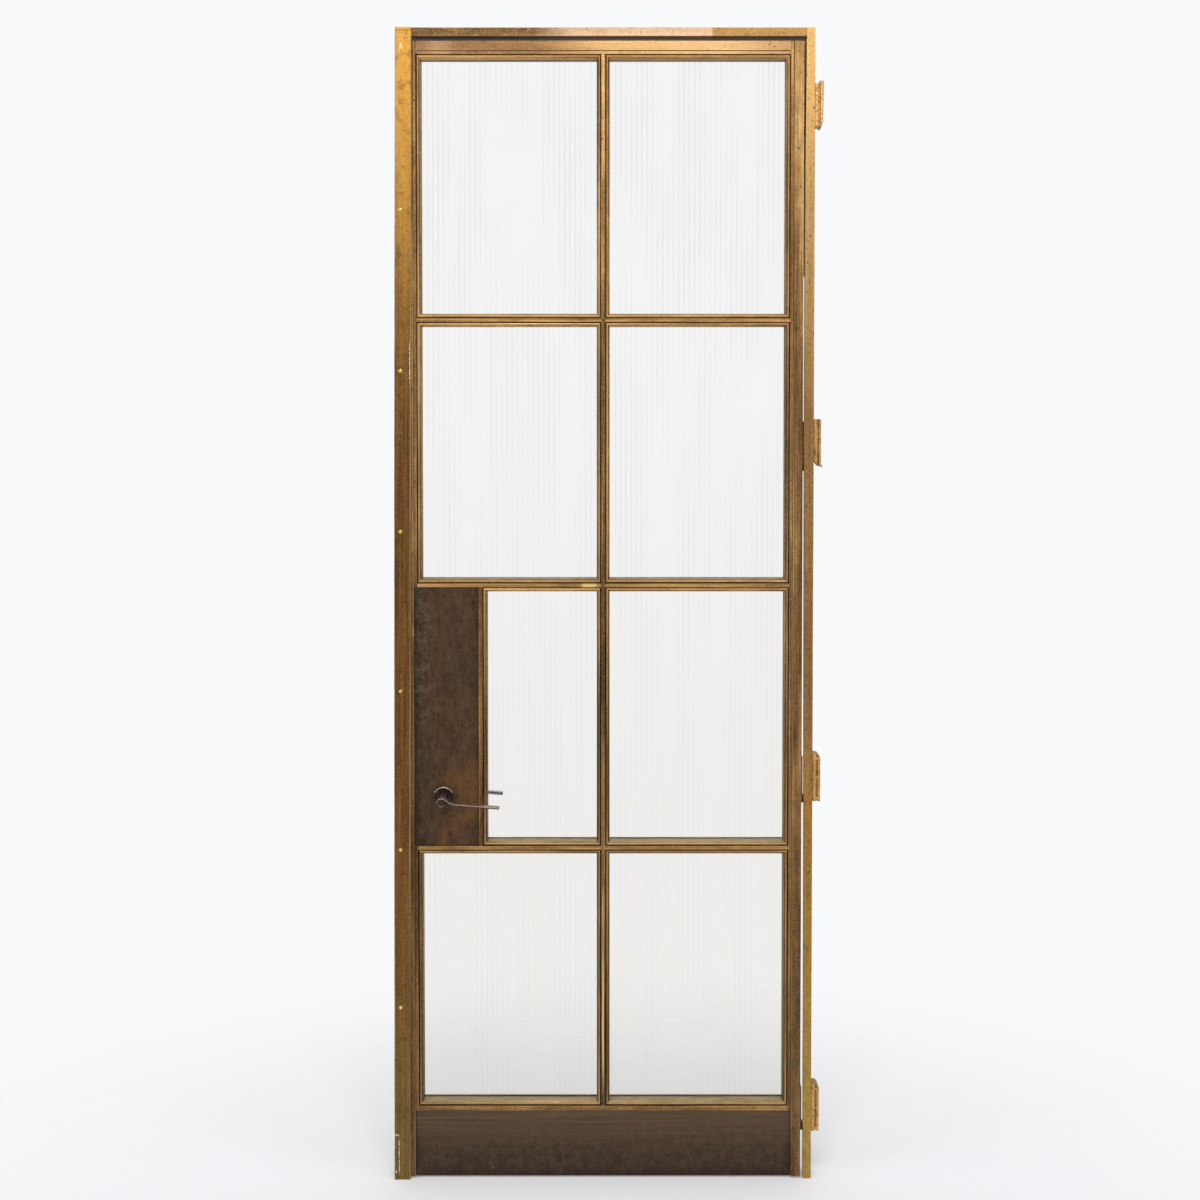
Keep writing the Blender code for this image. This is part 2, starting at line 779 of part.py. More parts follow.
def flared_lug():
    """Front view of the second lug from the top, with a flared foot."""
    half, flare = LUG_HEIGHT / 2, LUG_REACH * 0.15
    return [
        (FIT, half),
        (FIT, 6 * flare - half),
        (LUG_REACH / 2, -half + flare),
        (LUG_REACH + flare, -half),
        (LUG_REACH - flare / 2, 3 * flare - half),
        (LUG_REACH - flare / 2, half),
    ]


def notched_lug():
    """Front view of the top lug, with a slanted top and a foot cut on the diagonal."""
    half, step = LUG_HEIGHT / 2, LUG_REACH * 0.3
    return [
        (FIT, half - step),
        (LUG_GROOVE_START, half - step),
        (LUG_GROOVE_START + step / 2, half),
        (LUG_REACH + step / 3, half),
        (LUG_REACH, -half + 3 * step),
        (LUG_REACH - step, -half),
        (LUG_GROOVE_START, -half + step),
        (FIT, -half + step / 2),
    ]


def add_lugs(door):
    outlines = (rounded_lug(), rounded_lug(), flared_lug(), notched_lug())
    for index, (outline, height) in enumerate(zip(outlines, lug_heights())):
        mesh = outline_mesh(outline, LUG_DEPTH)
        place = (FRAME_WIDTH, LUG_DEPTH / 2, height)
        name = f"wall_lug_{index + 1}"
        lug = door.add(name, mesh, place, FRONTAL, door.cast, door.frame)
        front = -LUG_DEPTH / 2
        groove = FRAME_WIDTH + LUG_GROOVE_START
        low = (groove, front - MARGIN, height - LUG_HEIGHT)
        high = (groove + LUG_GROOVE_WIDTH, front + LUG_GROOVE_DEPTH, height + LUG_HEIGHT)
        cut_box(door, lug, low, high)


def jamb_half_outline():
    """Plan of the fixed hinge block: from the jamb's rebate it turns behind the leaf to the pin."""
    block_left = LEAF_RIGHT + HINGE_BLOCK_GAP
    block_right = JAMB_INNER + JAMB_REBATE - FIT
    rear = HINGE_Y + HINGE_RADIUS
    turn = arc((HINGE_X, HINGE_Y), HINGE_RADIUS, 270, 90, SIDES // 2)
    return [
        (block_right, FRAME_REAR - HINGE_BLOCK_DEPTH),
        (block_left, FRAME_REAR - HINGE_BLOCK_DEPTH),
        (block_left, HINGE_Y - HINGE_RADIUS),
        *turn,
        (block_right, rear),
    ]


def leaf_half_outline():
    """Plan of the moving hinge leaf: a plate on the stile's edge, rolled round the pin behind it."""
    plate_left = PLATE_ON_EDGE - HINGE_PLATE
    joint = math.degrees(math.acos((plate_left - HINGE_X) / HINGE_RADIUS))
    roll = arc((HINGE_X, HINGE_Y), HINGE_RADIUS, 0, 360 - joint, SIDES)
    plate_front = LEAF_FRONT + HINGE_PLATE_FRONT
    return [(plate_left, plate_front), (PLATE_ON_EDGE, plate_front), *roll]


def add_hinges(door):
    bore = arc((HINGE_X, HINGE_Y), HINGE_PIN_RADIUS + PIN_FIT, 0, 360 - 360 / SIDES, SIDES - 1)
    for index, height in enumerate(lug_heights()):
        seam = height - HINGE_DROP
        block = outline_mesh(jamb_half_outline(), HINGE_BLOCK_HEIGHT)
        fixed = door.add(
            f"hinge_jamb_half_{index + 1}",
            block,
            (0.0, 0.0, seam - HINGE_BLOCK_HEIGHT),
            UPRIGHT,
            door.plate,
            door.frame,
        )
        pin = round_mesh(HINGE_PIN_RADIUS, HINGE_PIN_LENGTH + HINGE_BLOCK_HEIGHT / 2)
        place = (HINGE_X, HINGE_Y, seam - HINGE_BLOCK_HEIGHT / 2)
        combine(fixed, door.cutter(pin, place), "UNION")
        door.add(
            f"hinge_leaf_half_{index + 1}",
            outline_mesh(leaf_half_outline(), HINGE_LEAF_HEIGHT, (bore,)),
            (0.0, 0.0, seam + FIT),
            UPRIGHT,
            door.plate,
            door.leaf,
        )


def rose_profile():
    """Half section of a rose with a raised rim and a dished face, from its top down."""
    bore = NECK_FOOT_RADIUS + ROSE_BORE_FIT
    return [
        (bore, ROSE_HEIGHT - ROSE_DISH),
        (ROSE_RADIUS - 2 * ROSE_RIM, ROSE_HEIGHT - ROSE_DISH),
        (ROSE_RADIUS - ROSE_RIM, ROSE_HEIGHT),
        (ROSE_RADIUS - ROSE_RIM / 2, ROSE_HEIGHT),
        (ROSE_RADIUS, ROSE_HEIGHT - ROSE_RIM / 2),
        (ROSE_RADIUS, 0.0),
        (bore, 0.0),
    ]


def lever_outline():
    """Front view of a lever from its axis: a round hub that runs out into a thin drooping strap."""
    hub = arc((0.0, 0.0), HUB_RADIUS, 55, 290, 14)
    start = 2.3 * HUB_RADIUS
    fall = LEVER_DROOP * (LEVER_LENGTH - start)
    top = -STRAP_DROP
    return [
        *hub,
        (1.2 * HUB_RADIUS, top - STRAP_THICKNESS * 1.6),
        (start, top - STRAP_THICKNESS),
        (LEVER_LENGTH, top - fall - STRAP_THICKNESS),
        (LEVER_LENGTH, top - fall),
        (start, top),
        (1.4 * HUB_RADIUS, top + HUB_RADIUS * 0.35),
        (HUB_RADIUS, top + HUB_RADIUS * 0.75),
    ]


def lever_plan(side):
    """Plan of a lever from its axis and the leaf's middle: a strap that widens towards its tip."""
    face = LEAF_DEPTH / 2 + LEVER_REACH
    back = face - HUB_DEPTH
    outline = [
        (-HUB_RADIUS - MARGIN, back),
        (HUB_RADIUS, back),
        (2.3 * HUB_RADIUS, face - STRAP_WIDTH),
        (LEVER_LENGTH + MARGIN, face - STRAP_TIP_WIDTH),
        (LEVER_LENGTH + MARGIN, face + MARGIN),
        (-HUB_RADIUS - MARGIN, face + MARGIN),
    ]
    return [(x, -side * away) for x, away in outline]


def add_lever(door, name, side, plate_face):
    """One handle and its rose: side is 1 at the front and -1 at the rear."""
    outwards = (side * math.pi / 2, 0.0, 0.0)
    axis = Vector((SPINDLE_X, LEAF_MIDDLE, SPINDLE_Z))

    def out(distance):
        return axis + Vector((0.0, -side * distance, 0.0))

    rose = turned_mesh(rose_profile(), closed=True)
    seat = plate_face + FIT
    turn(door.add(f"rose_{name}", rose, out(seat), outwards, door.handle, door.leaf), SIDES)
    face = LEAF_DEPTH / 2 + LEVER_REACH
    back = face - HUB_DEPTH
    outline = [(x, side * z) for x, z in lever_outline()]
    mesh = outline_mesh(outline, HUB_DEPTH)
    lever = door.add(f"lever_{name}", mesh, out(back), outwards, door.handle, door.lever)
    plan = outline_mesh(lever_plan(side), 4 * HUB_RADIUS)
    under = axis - Vector((0.0, 0.0, 2 * HUB_RADIUS))
    combine(lever, door.cutter(plan, under), "INTERSECT")
    neck = round_mesh(NECK_FOOT_RADIUS, back + HUB_DEPTH / 2 - seat, NECK_RADIUS)
    combine(lever, door.cutter(neck, out(seat), outwards), "UNION")
    hollow = round_mesh(HUB_HOLLOW_RADIUS, HUB_HOLLOW_DEPTH + MARGIN)
    place = out(face - HUB_HOLLOW_DEPTH)
    combine(lever, door.cutter(hollow, place, outwards), "DIFFERENCE")
    half = SPINDLE_SIDE / 2 + FIT
    reach = seat + SOCKET_DEPTH
    low = axis + Vector((-half, min(-side * reach, 0.0), -half))
    high = axis + Vector((half, max(-side * reach, 0.0), half))
    cut_box(door, lever, low, high)


def add_handles(door):
    front_face = LEAF_DEPTH / 2 - PLATE_RECESS
    rear_face = LEAF_DEPTH / 2
    add_lever(door, "front", 1, front_face)
    add_lever(door, "rear", -1, rear_face)
    half = SPINDLE_SIDE / 2
    socket = SOCKET_DEPTH - FIT
    add_box(
        door,
        "spindle",
        (SPINDLE_X - half, LEAF_MIDDLE - front_face - socket, SPINDLE_Z - half),
        (SPINDLE_X + half, LEAF_MIDDLE + rear_face + socket, SPINDLE_Z + half),
        door.plate,
        door.lever,
    )


def build():
    clear_scene()
    door = Door()
    add_frame(door)
    add_lugs(door)
    add_stiles(door)
    add_rails(door)
    add_mullion(door)
    add_transoms(door)
    add_lock_bar(door)
    add_glazing(door)
    add_plates(door)
    add_handles(door)
    add_hinges(door)


build()
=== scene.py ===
"""Dresses a tall bronze-framed glazed door: patinated sections, reeded glass, dark plates, strip, lugs
and levers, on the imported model's own solids. Metres, +Z up, the front faces -Y.
"""

import math

import bmesh
import bpy
from bpy.props import FloatProperty, FloatVectorProperty, IntProperty, PointerProperty
from mathutils import Matrix, Vector, noise


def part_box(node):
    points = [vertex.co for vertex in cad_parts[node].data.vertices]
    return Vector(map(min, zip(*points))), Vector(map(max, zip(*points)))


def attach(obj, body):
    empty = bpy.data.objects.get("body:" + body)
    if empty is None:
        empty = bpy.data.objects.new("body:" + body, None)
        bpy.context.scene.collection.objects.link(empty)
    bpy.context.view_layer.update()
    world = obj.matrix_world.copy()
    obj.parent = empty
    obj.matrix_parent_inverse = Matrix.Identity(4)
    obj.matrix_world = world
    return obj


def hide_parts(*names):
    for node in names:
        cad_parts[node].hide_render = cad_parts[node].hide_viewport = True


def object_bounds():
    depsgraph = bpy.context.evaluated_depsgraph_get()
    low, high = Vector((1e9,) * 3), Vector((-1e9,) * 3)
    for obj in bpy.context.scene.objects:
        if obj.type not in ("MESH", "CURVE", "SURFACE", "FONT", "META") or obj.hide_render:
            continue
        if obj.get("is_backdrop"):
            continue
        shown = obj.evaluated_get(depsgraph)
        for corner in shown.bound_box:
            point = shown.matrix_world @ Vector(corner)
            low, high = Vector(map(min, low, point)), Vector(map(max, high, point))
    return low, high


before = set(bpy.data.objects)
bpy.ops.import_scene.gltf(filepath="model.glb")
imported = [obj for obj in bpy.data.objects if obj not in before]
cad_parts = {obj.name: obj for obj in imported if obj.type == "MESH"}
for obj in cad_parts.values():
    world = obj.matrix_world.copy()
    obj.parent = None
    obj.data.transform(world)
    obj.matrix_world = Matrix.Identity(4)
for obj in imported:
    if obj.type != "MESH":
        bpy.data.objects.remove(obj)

bl_info = {
    "name": "Bronze Glazed Door",
    "version": (1, 0, 0),
    "blender": (4, 5, 0),
    "location": "View3D > Sidebar > Door",
    "description": "Finishes a tall bronze-framed door with reeded panes",
    "category": "Add Mesh",
}

# The leaf's front and rear faces
LEAF_FRONT = -0.0215
LEAF_REAR = 0.0225
# How far the old frame is out of true
LATCH_LEAN = 0.0115
LATCH_BOW = 0.0012
HEAD_SAG = 0.003
JAMB_BOW = 0.0034
JAMB_CUTS = 24
# The rebate behind the hinge jamb's lip, and the height above which it is closed
JAMB_REBATE = 0.008
CLOSED_ABOVE = 0.80
CLOSED_STEP = 0.001
CLOSED_PAST_LIP = 0.0015
# A vertex this close to a face of its box lies on it
NEAR = 0.001
# The stop strip: rings from foot to top, its joint line and the nicks at its foot
STRIP_RINGS = 460
JOINT_HALF_WIDTH = 0.0009
JOINT_DEPTH = 0.0012
NICKED_FOOT = 0.115
NICK_DEPTH = 0.0018
# Screw heads: how far the middle lies below the strip's face, and the block that cuts the slot
SCREW_SUNK = 0.0005
SLOT_RISE = 0.0013
SLOT_HEIGHT = 0.0015
# The rivets' place in the groove of a lug
RIVET_INSET = 0.0115
RIVET_DEPTH = 0.0015
# Levers and roses: a rose's finer edges, and where edges show wear and a painted highlight from above,
# from the lever's axis up
ROSE_EDGE_SHARE = 0.45
ROSE_WORN_AND_LIT_ABOVE = 0.013
LEVER_WORN_AND_LIT_ABOVE = -0.012
# The way a section runs
UPRIGHT = "Z"
LEVEL = "X"

UPRIGHTS = ("latch_stile", "hinge_stile", "mullion", "lock_bar")
RAILS = ("top_rail", "bottom_rail") + tuple(
    f"transom_{row}_{side}" for row in (1, 2, 3) for side in ("left", "right")
)
# Colours along the level bars at the top, as (place across the door, colour)
HEAD_ZONES = (
    (0.0, (0.075, 0.036, 0.016)),
    (0.34, (0.085, 0.040, 0.018)),
    (0.44, (0.50, 0.34, 0.225)),
    (0.7655, (0.60, 0.40, 0.27)),
    (0.7660, (0.34, 0.185, 0.062)),
    (1.01, (0.40, 0.225, 0.078)),
)
RAIL_ZONES = (
    (0.0, (0.20, 0.10, 0.05)),
    (0.075, (0.22, 0.11, 0.055)),
    (0.11, (0.36, 0.21, 0.12)),
    (0.16, (0.20, 0.10, 0.046)),
    (0.36, (0.18, 0.088, 0.040)),
    (0.50, (0.50, 0.30, 0.125)),
    (0.80, (0.62, 0.38, 0.175)),
    (0.96, (0.40, 0.22, 0.10)),
)
# Bright scratches on the strip, as (place across and up, reach across and up)
STRIP_MARKS = (
    ((0.0264, 1.3500), (0.0010, 0.0050)),
    ((0.0240, 1.3445), (0.0011, 0.0045)),
    ((0.0278, 1.3415), (0.0010, 0.0040)),
    ((0.0252, 1.3475), (0.0034, 0.0010)),
    ((0.0225, 1.3380), (0.0010, 0.0030)),
    ((0.0440, 0.590), (0.0011, 0.062)),
    ((0.0063, -1.2814), (0.0065, 0.0013)),
    ((0.0119, -1.333), (0.0010, 0.052)),
    ((0.0045, -1.372), (0.0015, 0.0040)),
)
# Colours up the jambs, as (height, colour)
JAMB_ZONES = (
    (-1.391, (0.50, 0.32, 0.065)),
    (-1.10, (0.46, 0.28, 0.048)),
    (-0.50, (0.50, 0.235, 0.042)),
    (-0.25, (0.30, 0.15, 0.055)),
    (0.45, (0.32, 0.165, 0.06)),
    (0.80, (0.50, 0.29, 0.10)),
    (1.391, (0.72, 0.44, 0.15)),
)
# Heights of the golden lines along the transoms
TRANSOM_MIDDLES = (0.6955, 0.0575, -0.5805)
LINE_REACH = (0.8, 0.0042)
# Single spots on the front, as (place across and up, reach across and up), and their full share
PATCH_CORE = 0.6
CHIPPED_STILE = ((0.0492, -0.054), (0.0035, 0.016))
# A painted highlight beside the middle crossing
CROSSING_HIGHLIGHT = ((0.474, 0.0575), (0.022, 0.006))
MULLION_FOOT = ((0.5085, -1.20), (0.02, 0.03))
MULLION_RUB = ((0.507, -0.92), (0.0032, 0.28))
LOCK_GLOW = ((0.18, -0.50), (0.09, 0.14))
# The lock plate's warm middle lies off its centre, and its scuffs set in between these heights
WARM_OFFSET = 0.018
SCUFFED_FROM = -0.36
SCUFFED_FULLY = -0.24
# Putty lies on the ledges in this lowest part of a bead ring
LEDGE_HEIGHT = 0.02
# The floor lies just under the door and fades out away from its middle
FLOOR_GAP = 0.0005
FLOOR_PLACE = (0.5, -2.0)
FLOOR_REACH = (4.0, 5.0)
FLOOR_MIDDLE = (0.5, -0.9, -1.391)

PANES = tuple(
    f"{row}_{side}" for row in ("top", "upper", "lock", "bottom") for side in ("left", "right")
)
LUGS = tuple(f"wall_lug_{number}" for number in range(1, 5))
SCREWS = tuple(f"stop_screw_{number}" for number in range(1, 7))


def latch_lean(height):
    """How far the latch side of the frame stands in towards the leaf, which is most at the top."""
    low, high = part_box("latch_jamb")
    share = (height - low.z) / (high.z - low.z)
    return max(0.0, LATCH_LEAN * share - LATCH_BOW * math.sin(math.pi * share))


def jamb_bow(height):
    """How far the hinge jamb's lip bends towards the leaf, which is most above the middle."""
    low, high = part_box("hinge_jamb")
    return JAMB_BOW * math.sin(math.pi * ((height - low.z) / (high.z - low.z)) ** 2)


# Nodes


class Builder:
    """Adds nodes to a tree. An input is a value, a socket, or a node for its first output."""

    def __init__(self, tree):
        self.nodes = tree.nodes
        self.links = tree.links

    def feed(self, socket, value):
        if isinstance(value, bpy.types.Node):
            value = value.outputs[0]
        if isinstance(value, bpy.types.NodeSocket):
            self.links.new(value, socket)
        elif socket.type == "RGBA":
            socket.default_value = (*value, 1.0)
        else:
            socket.default_value = value

    def add(self, kind, inputs=None, **settings):
        node = self.nodes.new(kind)
        for name, value in settings.items():
            setattr(node, name, value)
        for socket, value in (inputs or {}).items():
            self.feed(node.inputs[socket], value)
        return node

    def combine(self, operation, *values):
        return self.add("ShaderNodeMath", dict(enumerate(values)), operation=operation)


class Finish(Builder):
    """A node material on the piece's own coordinates. Its skin is the colour laid on so far."""

    def __init__(self, name, values):
        self.material = bpy.data.materials.new(name)
        self.material.use_nodes = True
        super().__init__(self.material.node_tree)
        self.shader = self.nodes["Principled BSDF"]
        for title, value in values.items():
            self.feed(self.shader.inputs[title], value)
        self.place = self.add("ShaderNodeTexCoord").outputs["Object"]
        self.axes = self.add("ShaderNodeSeparateXYZ", {0: self.place}).outputs
        self.skin = None

    def grain(self, scale, stretch=(1.0, 1.0, 1.0), shift=(0.0, 0.0, 0.0), detail=4.0, roughness=0.55):
        spot = self.add(
            "ShaderNodeMapping", {"Vector": self.place, "Location": shift, "Scale": stretch}
        )
        return self.add(
            "ShaderNodeTexNoise",
            {"Vector": spot, "Scale": scale, "Detail": detail, "Roughness": roughness},
        )

    def band(self, value, low, high, first=0.0, last=1.0):
        """Runs smoothly from first to last while the value goes from low to high."""
        return self.add(
            "ShaderNodeMapRange",
            {"Value": value, "From Min": low, "From Max": high, "To Min": first, "To Max": last},
            interpolation_type="SMOOTHSTEP",
        )

    def band_along(self, axis, low, high, first=0.0, last=1.0):
        return self.band(self.axes[axis], low, high, first, last)

    def times(self, first, second):
        return self.combine("MULTIPLY", first, second)

    def plus(self, first, second):
        return self.combine("ADD", first, second)

    def ramp(self, value, stops):
        node = self.add("ShaderNodeValToRGB", {0: value})
        elements = node.color_ramp.elements
        while len(elements) < len(stops):
            elements.new(0.5)
        for element, (position, colour) in zip(elements, stops):
            element.position = position
            element.color = (*colour, 1.0)
        return node

    def zones(self, axis, stops):
        """Colours that change from place to place along one axis, given as (place, colour)."""
        first, last = stops[0][0], stops[-1][0]
        share = self.add(
            "ShaderNodeMapRange", {"Value": self.axes[axis], "From Min": first, "From Max": last}
        )
        return self.ramp(share, [((place - first) / (last - first), colour) for place, colour in stops])

    def blend(self, share, under, over):
        mix = self.add("ShaderNodeMix", {"Factor": share, 6: under, 7: over}, data_type="RGBA")
        return mix.outputs[2]

    def away(self, axis, middle):
        return self.combine("ABSOLUTE", self.plus(self.axes[axis], -middle))

    def patch(self, place, reach):
        """One round a place on the front, given across and up, and nothing away from it."""
        across, up = (
            self.band(self.away(axis, middle), half, half * PATCH_CORE)
            for axis, middle, half in zip("XZ", place, reach)
        )
        return self.times(across, up)

    def mark(self, name):
        return self.add("ShaderNodeAttribute", attribute_name=name).outputs["Fac"]

    def lay(self, colour, *shares):
        """Covers the skin with a colour, as far as the shares, multiplied, say."""
        share = shares[0]
        for another in shares[1:]:
            share = self.times(share, another)
        self.skin = self.blend(share, self.skin, colour)

    def rough(self, pattern, least, most):
        self.feed(self.shader.inputs["Roughness"], self.band(pattern, 0.3, 0.7, least, most))

    def relief(self, height, distance, strength):
        bump = self.add("ShaderNodeBump", {"Strength": strength, "Distance": distance, "Height": height})
        self.feed(self.shader.inputs["Normal"], bump)

    def done(self):
        self.feed(self.shader.inputs["Base Color"], self.skin)
        return self.material


class Grower(Builder):
    """A tree of Geometry Nodes with named inputs, that ends in real geometry with its material."""

    def __init__(self, title, inputs):
        self.tree = bpy.data.node_groups.new(title, "GeometryNodeTree")
        super().__init__(self.tree)
        face = self.tree.interface
        face.new_socket("Geometry", in_out="OUTPUT", socket_type="NodeSocketGeometry")
        self.identifiers = {}
        for name, kind, default in inputs:
            socket = face.new_socket(name, in_out="INPUT", socket_type=f"NodeSocket{kind}")
            if default is not None:
                socket.default_value = default
            self.identifiers[name] = socket.identifier
        self.given = self.add("NodeGroupInput").outputs

    def end(self, geometry, material):
        real = self.add("GeometryNodeRealizeInstances", {"Geometry": geometry})
        paint = self.add("GeometryNodeSetMaterial", {"Geometry": real, "Material": material})
        self.add("NodeGroupOutput", {0: paint})

    def grow(self, name, values):
        """Runs the tree on an empty mesh and keeps the result as a plain mesh."""
        holder = linked(name, bpy.data.meshes.new(name))
        modifier = holder.modifiers.new(name, "NODES")
        modifier.node_group = self.tree
        for title, value in values.items():
            modifier[self.identifiers[title]] = value
        mesh = evaluated_mesh(holder)
        mesh.name = name
        return linked(name, mesh)


def linked(name, data):
    piece = bpy.data.objects.new(name, data)
    bpy.context.scene.collection.objects.link(piece)
    return piece


def evaluated_mesh(holder):
    """The holder's mesh with its modifiers run. The holder itself is removed."""
    bpy.context.view_layer.update()
    evaluated = holder.evaluated_get(bpy.context.evaluated_depsgraph_get())
    mesh = bpy.data.meshes.new_from_object(evaluated)
    bpy.data.objects.remove(holder)
    return mesh


# The bronze of the sections


def grain_stretch(direction, across, lengthwise):
    if direction == UPRIGHT:
        return (across, across, lengthwise)
    return (lengthwise, across, across)


def darker(colour, share):
    return tuple(channel * share for channel in colour)


def bronze_finish(name, settings, direction, gold=0.0, shift=(0.0, 0.0, 0.0), zones=None, lines=()):
    """Brown patina over golden metal, drawn out along the section and rubbed on its edges, with painted
    shade in its recesses and grooves, a painted highlight beside the middle crossing and golder metal
    towards the top, partly painted light.

    Zones are (axis, least share, greatest share, colours by place). Lines are heights of golden lines.
    """
    finish = Finish(name, {"Metallic": 0.95, "Specular IOR Level": 0.3})
    streaks = finish.grain(1.0, grain_stretch(direction, 330.0, 4.0), shift)
    clouds = finish.grain(1.0, grain_stretch(direction, 34.0, 2.4), shift, detail=3.0)
    blots = finish.grain(1.0, grain_stretch(direction, 60.0, 22.0), shift, detail=5.0, roughness=0.7)
    specks = finish.grain(420.0, shift=shift, detail=2.0)
    tone = finish.plus(finish.times(streaks, 0.45), finish.times(clouds, 0.55))
    tone = finish.plus(tone, finish.times(blots, 0.3))
    # Golder towards the top and darker low down: partly patina, partly painted light from above
    tone = finish.plus(tone, finish.times(finish.axes["Z"], 0.055))
    tone = finish.plus(tone, gold - 0.17)
    dark = settings.dark_patina
    brown = settings.brown_patina
    golden = settings.golden_metal
    finish.skin = finish.ramp(
        tone,
        (
            (0.36, dark), (0.46, darker(brown, 0.6)), (0.55, brown),
            (0.68, golden), (0.85, darker(golden, 1.3)),
        ),
    )
    if zones:
        axis, least, most, stops = zones
        finish.lay(finish.zones(axis, stops), finish.band(blots, 0.3, 0.6, least, most))
    # Painted shade, with some dirt: darker deep in the section, away from both its front and rear faces,
    # where its recesses lie
    finish.lay(
        darker(dark, 0.6),
        finish.band_along("Y", LEAF_FRONT + 0.009, LEAF_FRONT + 0.016),
        finish.band_along("Y", LEAF_REAR - 0.003, LEAF_REAR - 0.008),
        0.6,
    )
    # Dirt and painted shade in the grooves
    finish.lay(darker(dark, 0.3), finish.mark("groove"), finish.band(clouds, 0.3, 0.7, 0.97, 0.75))
    bloom = finish.grain(30.0, shift=(3.1, 0.4, 1.7), detail=5.0)
    low_down = finish.band_along("Z", 0.6, -0.6, 0.1, 0.4)
    finish.lay(settings.verdigris, finish.band(bloom, 0.58, 0.7), low_down)
    pits = finish.grain(120.0, shift=(0.7, 3.0, 0.1), detail=1.0)
    finish.lay(darker(dark, 0.5), finish.band(pits, 0.69, 0.76, 0.0, 0.75))
    flecks = finish.grain(170.0, shift=(2.7, 1.0, 4.1), detail=1.0)
    finish.lay(settings.putty, finish.band(flecks, 0.73, 0.79, 0.0, 0.5))
    mottle = finish.grain(330.0, shift=shift, detail=5.0, roughness=0.8)
    finish.lay(darker(brown, 0.3), finish.band(mottle, 0.5, 0.33, 0.0, 0.7))
    finish.lay(golden, finish.band(mottle, 0.51, 0.68, 0.0, 0.65))
    finish.lay(settings.chipped, finish.patch(*CHIPPED_STILE), finish.band(specks, 0.42, 0.52))
    for height in lines:
        finish.lay(
            golden,
            finish.patch((0.5, height), LINE_REACH),
            finish.band(finish.grain(6.0, shift=shift), 0.4, 0.62, 0.15, 0.9),
            finish.band(streaks, 0.35, 0.6, 0.3, 1.0),
        )
    # Painted highlight: the bright golden spot beside the middle crossing
    finish.lay(settings.glow, finish.patch(*CROSSING_HIGHLIGHT), finish.band(streaks, 0.35, 0.6, 0.4, 1.0))
    finish.lay(settings.verdigris, finish.patch(*MULLION_FOOT), finish.band(blots, 0.4, 0.65, 0.0, 0.7))
    bright = settings.bright_edge
    finish.lay(bright, finish.patch(*MULLION_RUB), finish.band(streaks, 0.3, 0.55, 0.3, 1.0))
    finish.lay(bright, finish.mark("edge_wear"), finish.band(clouds, 0.32, 0.66, 0.15, 0.8))
    finish.lay(settings.putty, finish.mark("putty"), finish.band(blots, 0.3, 0.6, 0.5, 1.0))
    finish.rough(streaks, settings.gloss, settings.gloss + 0.2)
    finish.relief(specks, 0.0002, 0.35)
    return finish.done()


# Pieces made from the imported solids


def merged_copy(node):
    """The node's mesh as one connected skin with flat faces, ready to be worked on."""
    bm = bmesh.new()
    bm.from_mesh(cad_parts[node].data)
    bmesh.ops.remove_doubles(bm, verts=bm.verts, dist=1e-6)
    bmesh.ops.dissolve_limit(bm, angle_limit=math.radians(1.0), verts=bm.verts, edges=bm.edges)
    return bm


def bends_in(edge):
    return edge.is_manifold and not edge.is_convex and edge.calc_face_angle() > math.radians(12.0)


def mark_grooves(bm, widest=0.0045):
    """Marks the narrow faces that end in an inside corner, where dirt gathers and shade falls; the
    colour laid there is partly dirt and partly painted shade.
    """
    groove = bm.faces.layers.float.new("groove")
    for face in bm.faces:
        length = max(edge.calc_length() for edge in face.edges)
        if face.calc_area() < widest * length and any(bends_in(edge) for edge in face.edges):
            face[groove] = 1.0


def soften(bm, radius, sharpest=30.0):
    """Rounds the outer edges and marks the new narrow faces as worn."""
    wear = bm.faces.layers.float.new("edge_wear")
    groove = bm.faces.layers.float.get("groove")
    edges = [
        edge
        for edge in bm.edges
        if edge.is_manifold and edge.is_convex and edge.calc_face_angle() > math.radians(sharpest)
    ]
    made = bmesh.ops.bevel(
        bm, geom=edges, offset=radius, segments=1, profile=0.5, affect="EDGES", clamp_overlap=True
    )
    for face in made["faces"]:
        face[wear] = 1.0
        if groove:
            face[groove] = 0.0


def finished(name, bm, material):
    mesh = bpy.data.meshes.new(name)
    bm.to_mesh(mesh)
    bm.free()
    mesh.materials.append(material)
    return linked(name, mesh)


def settle(piece, body, slot, *nodes):
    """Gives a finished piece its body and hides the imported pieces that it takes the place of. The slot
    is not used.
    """
    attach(piece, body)
    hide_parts(*nodes)


def softened_piece(node, body, slot, material, radius):
    """The node's own form with dirt and painted shade in its grooves and rounded, worn edges."""
    bm = merged_copy(node)
    mark_grooves(bm)
    soften(bm, radius)
    settle(finished(f"{node}_finished", bm, material), body, slot, node)


# Settings


def colour_property(name, description, default):
    return FloatVectorProperty(
        name=name, description=description, default=default, subtype="COLOR", size=3, min=0.0, max=1.0
    )


def length_property(name, description, default, lowest=0.0):
    return FloatProperty(
        name=name, description=description, default=default, min=lowest, max=10.0, unit="LENGTH"
    )


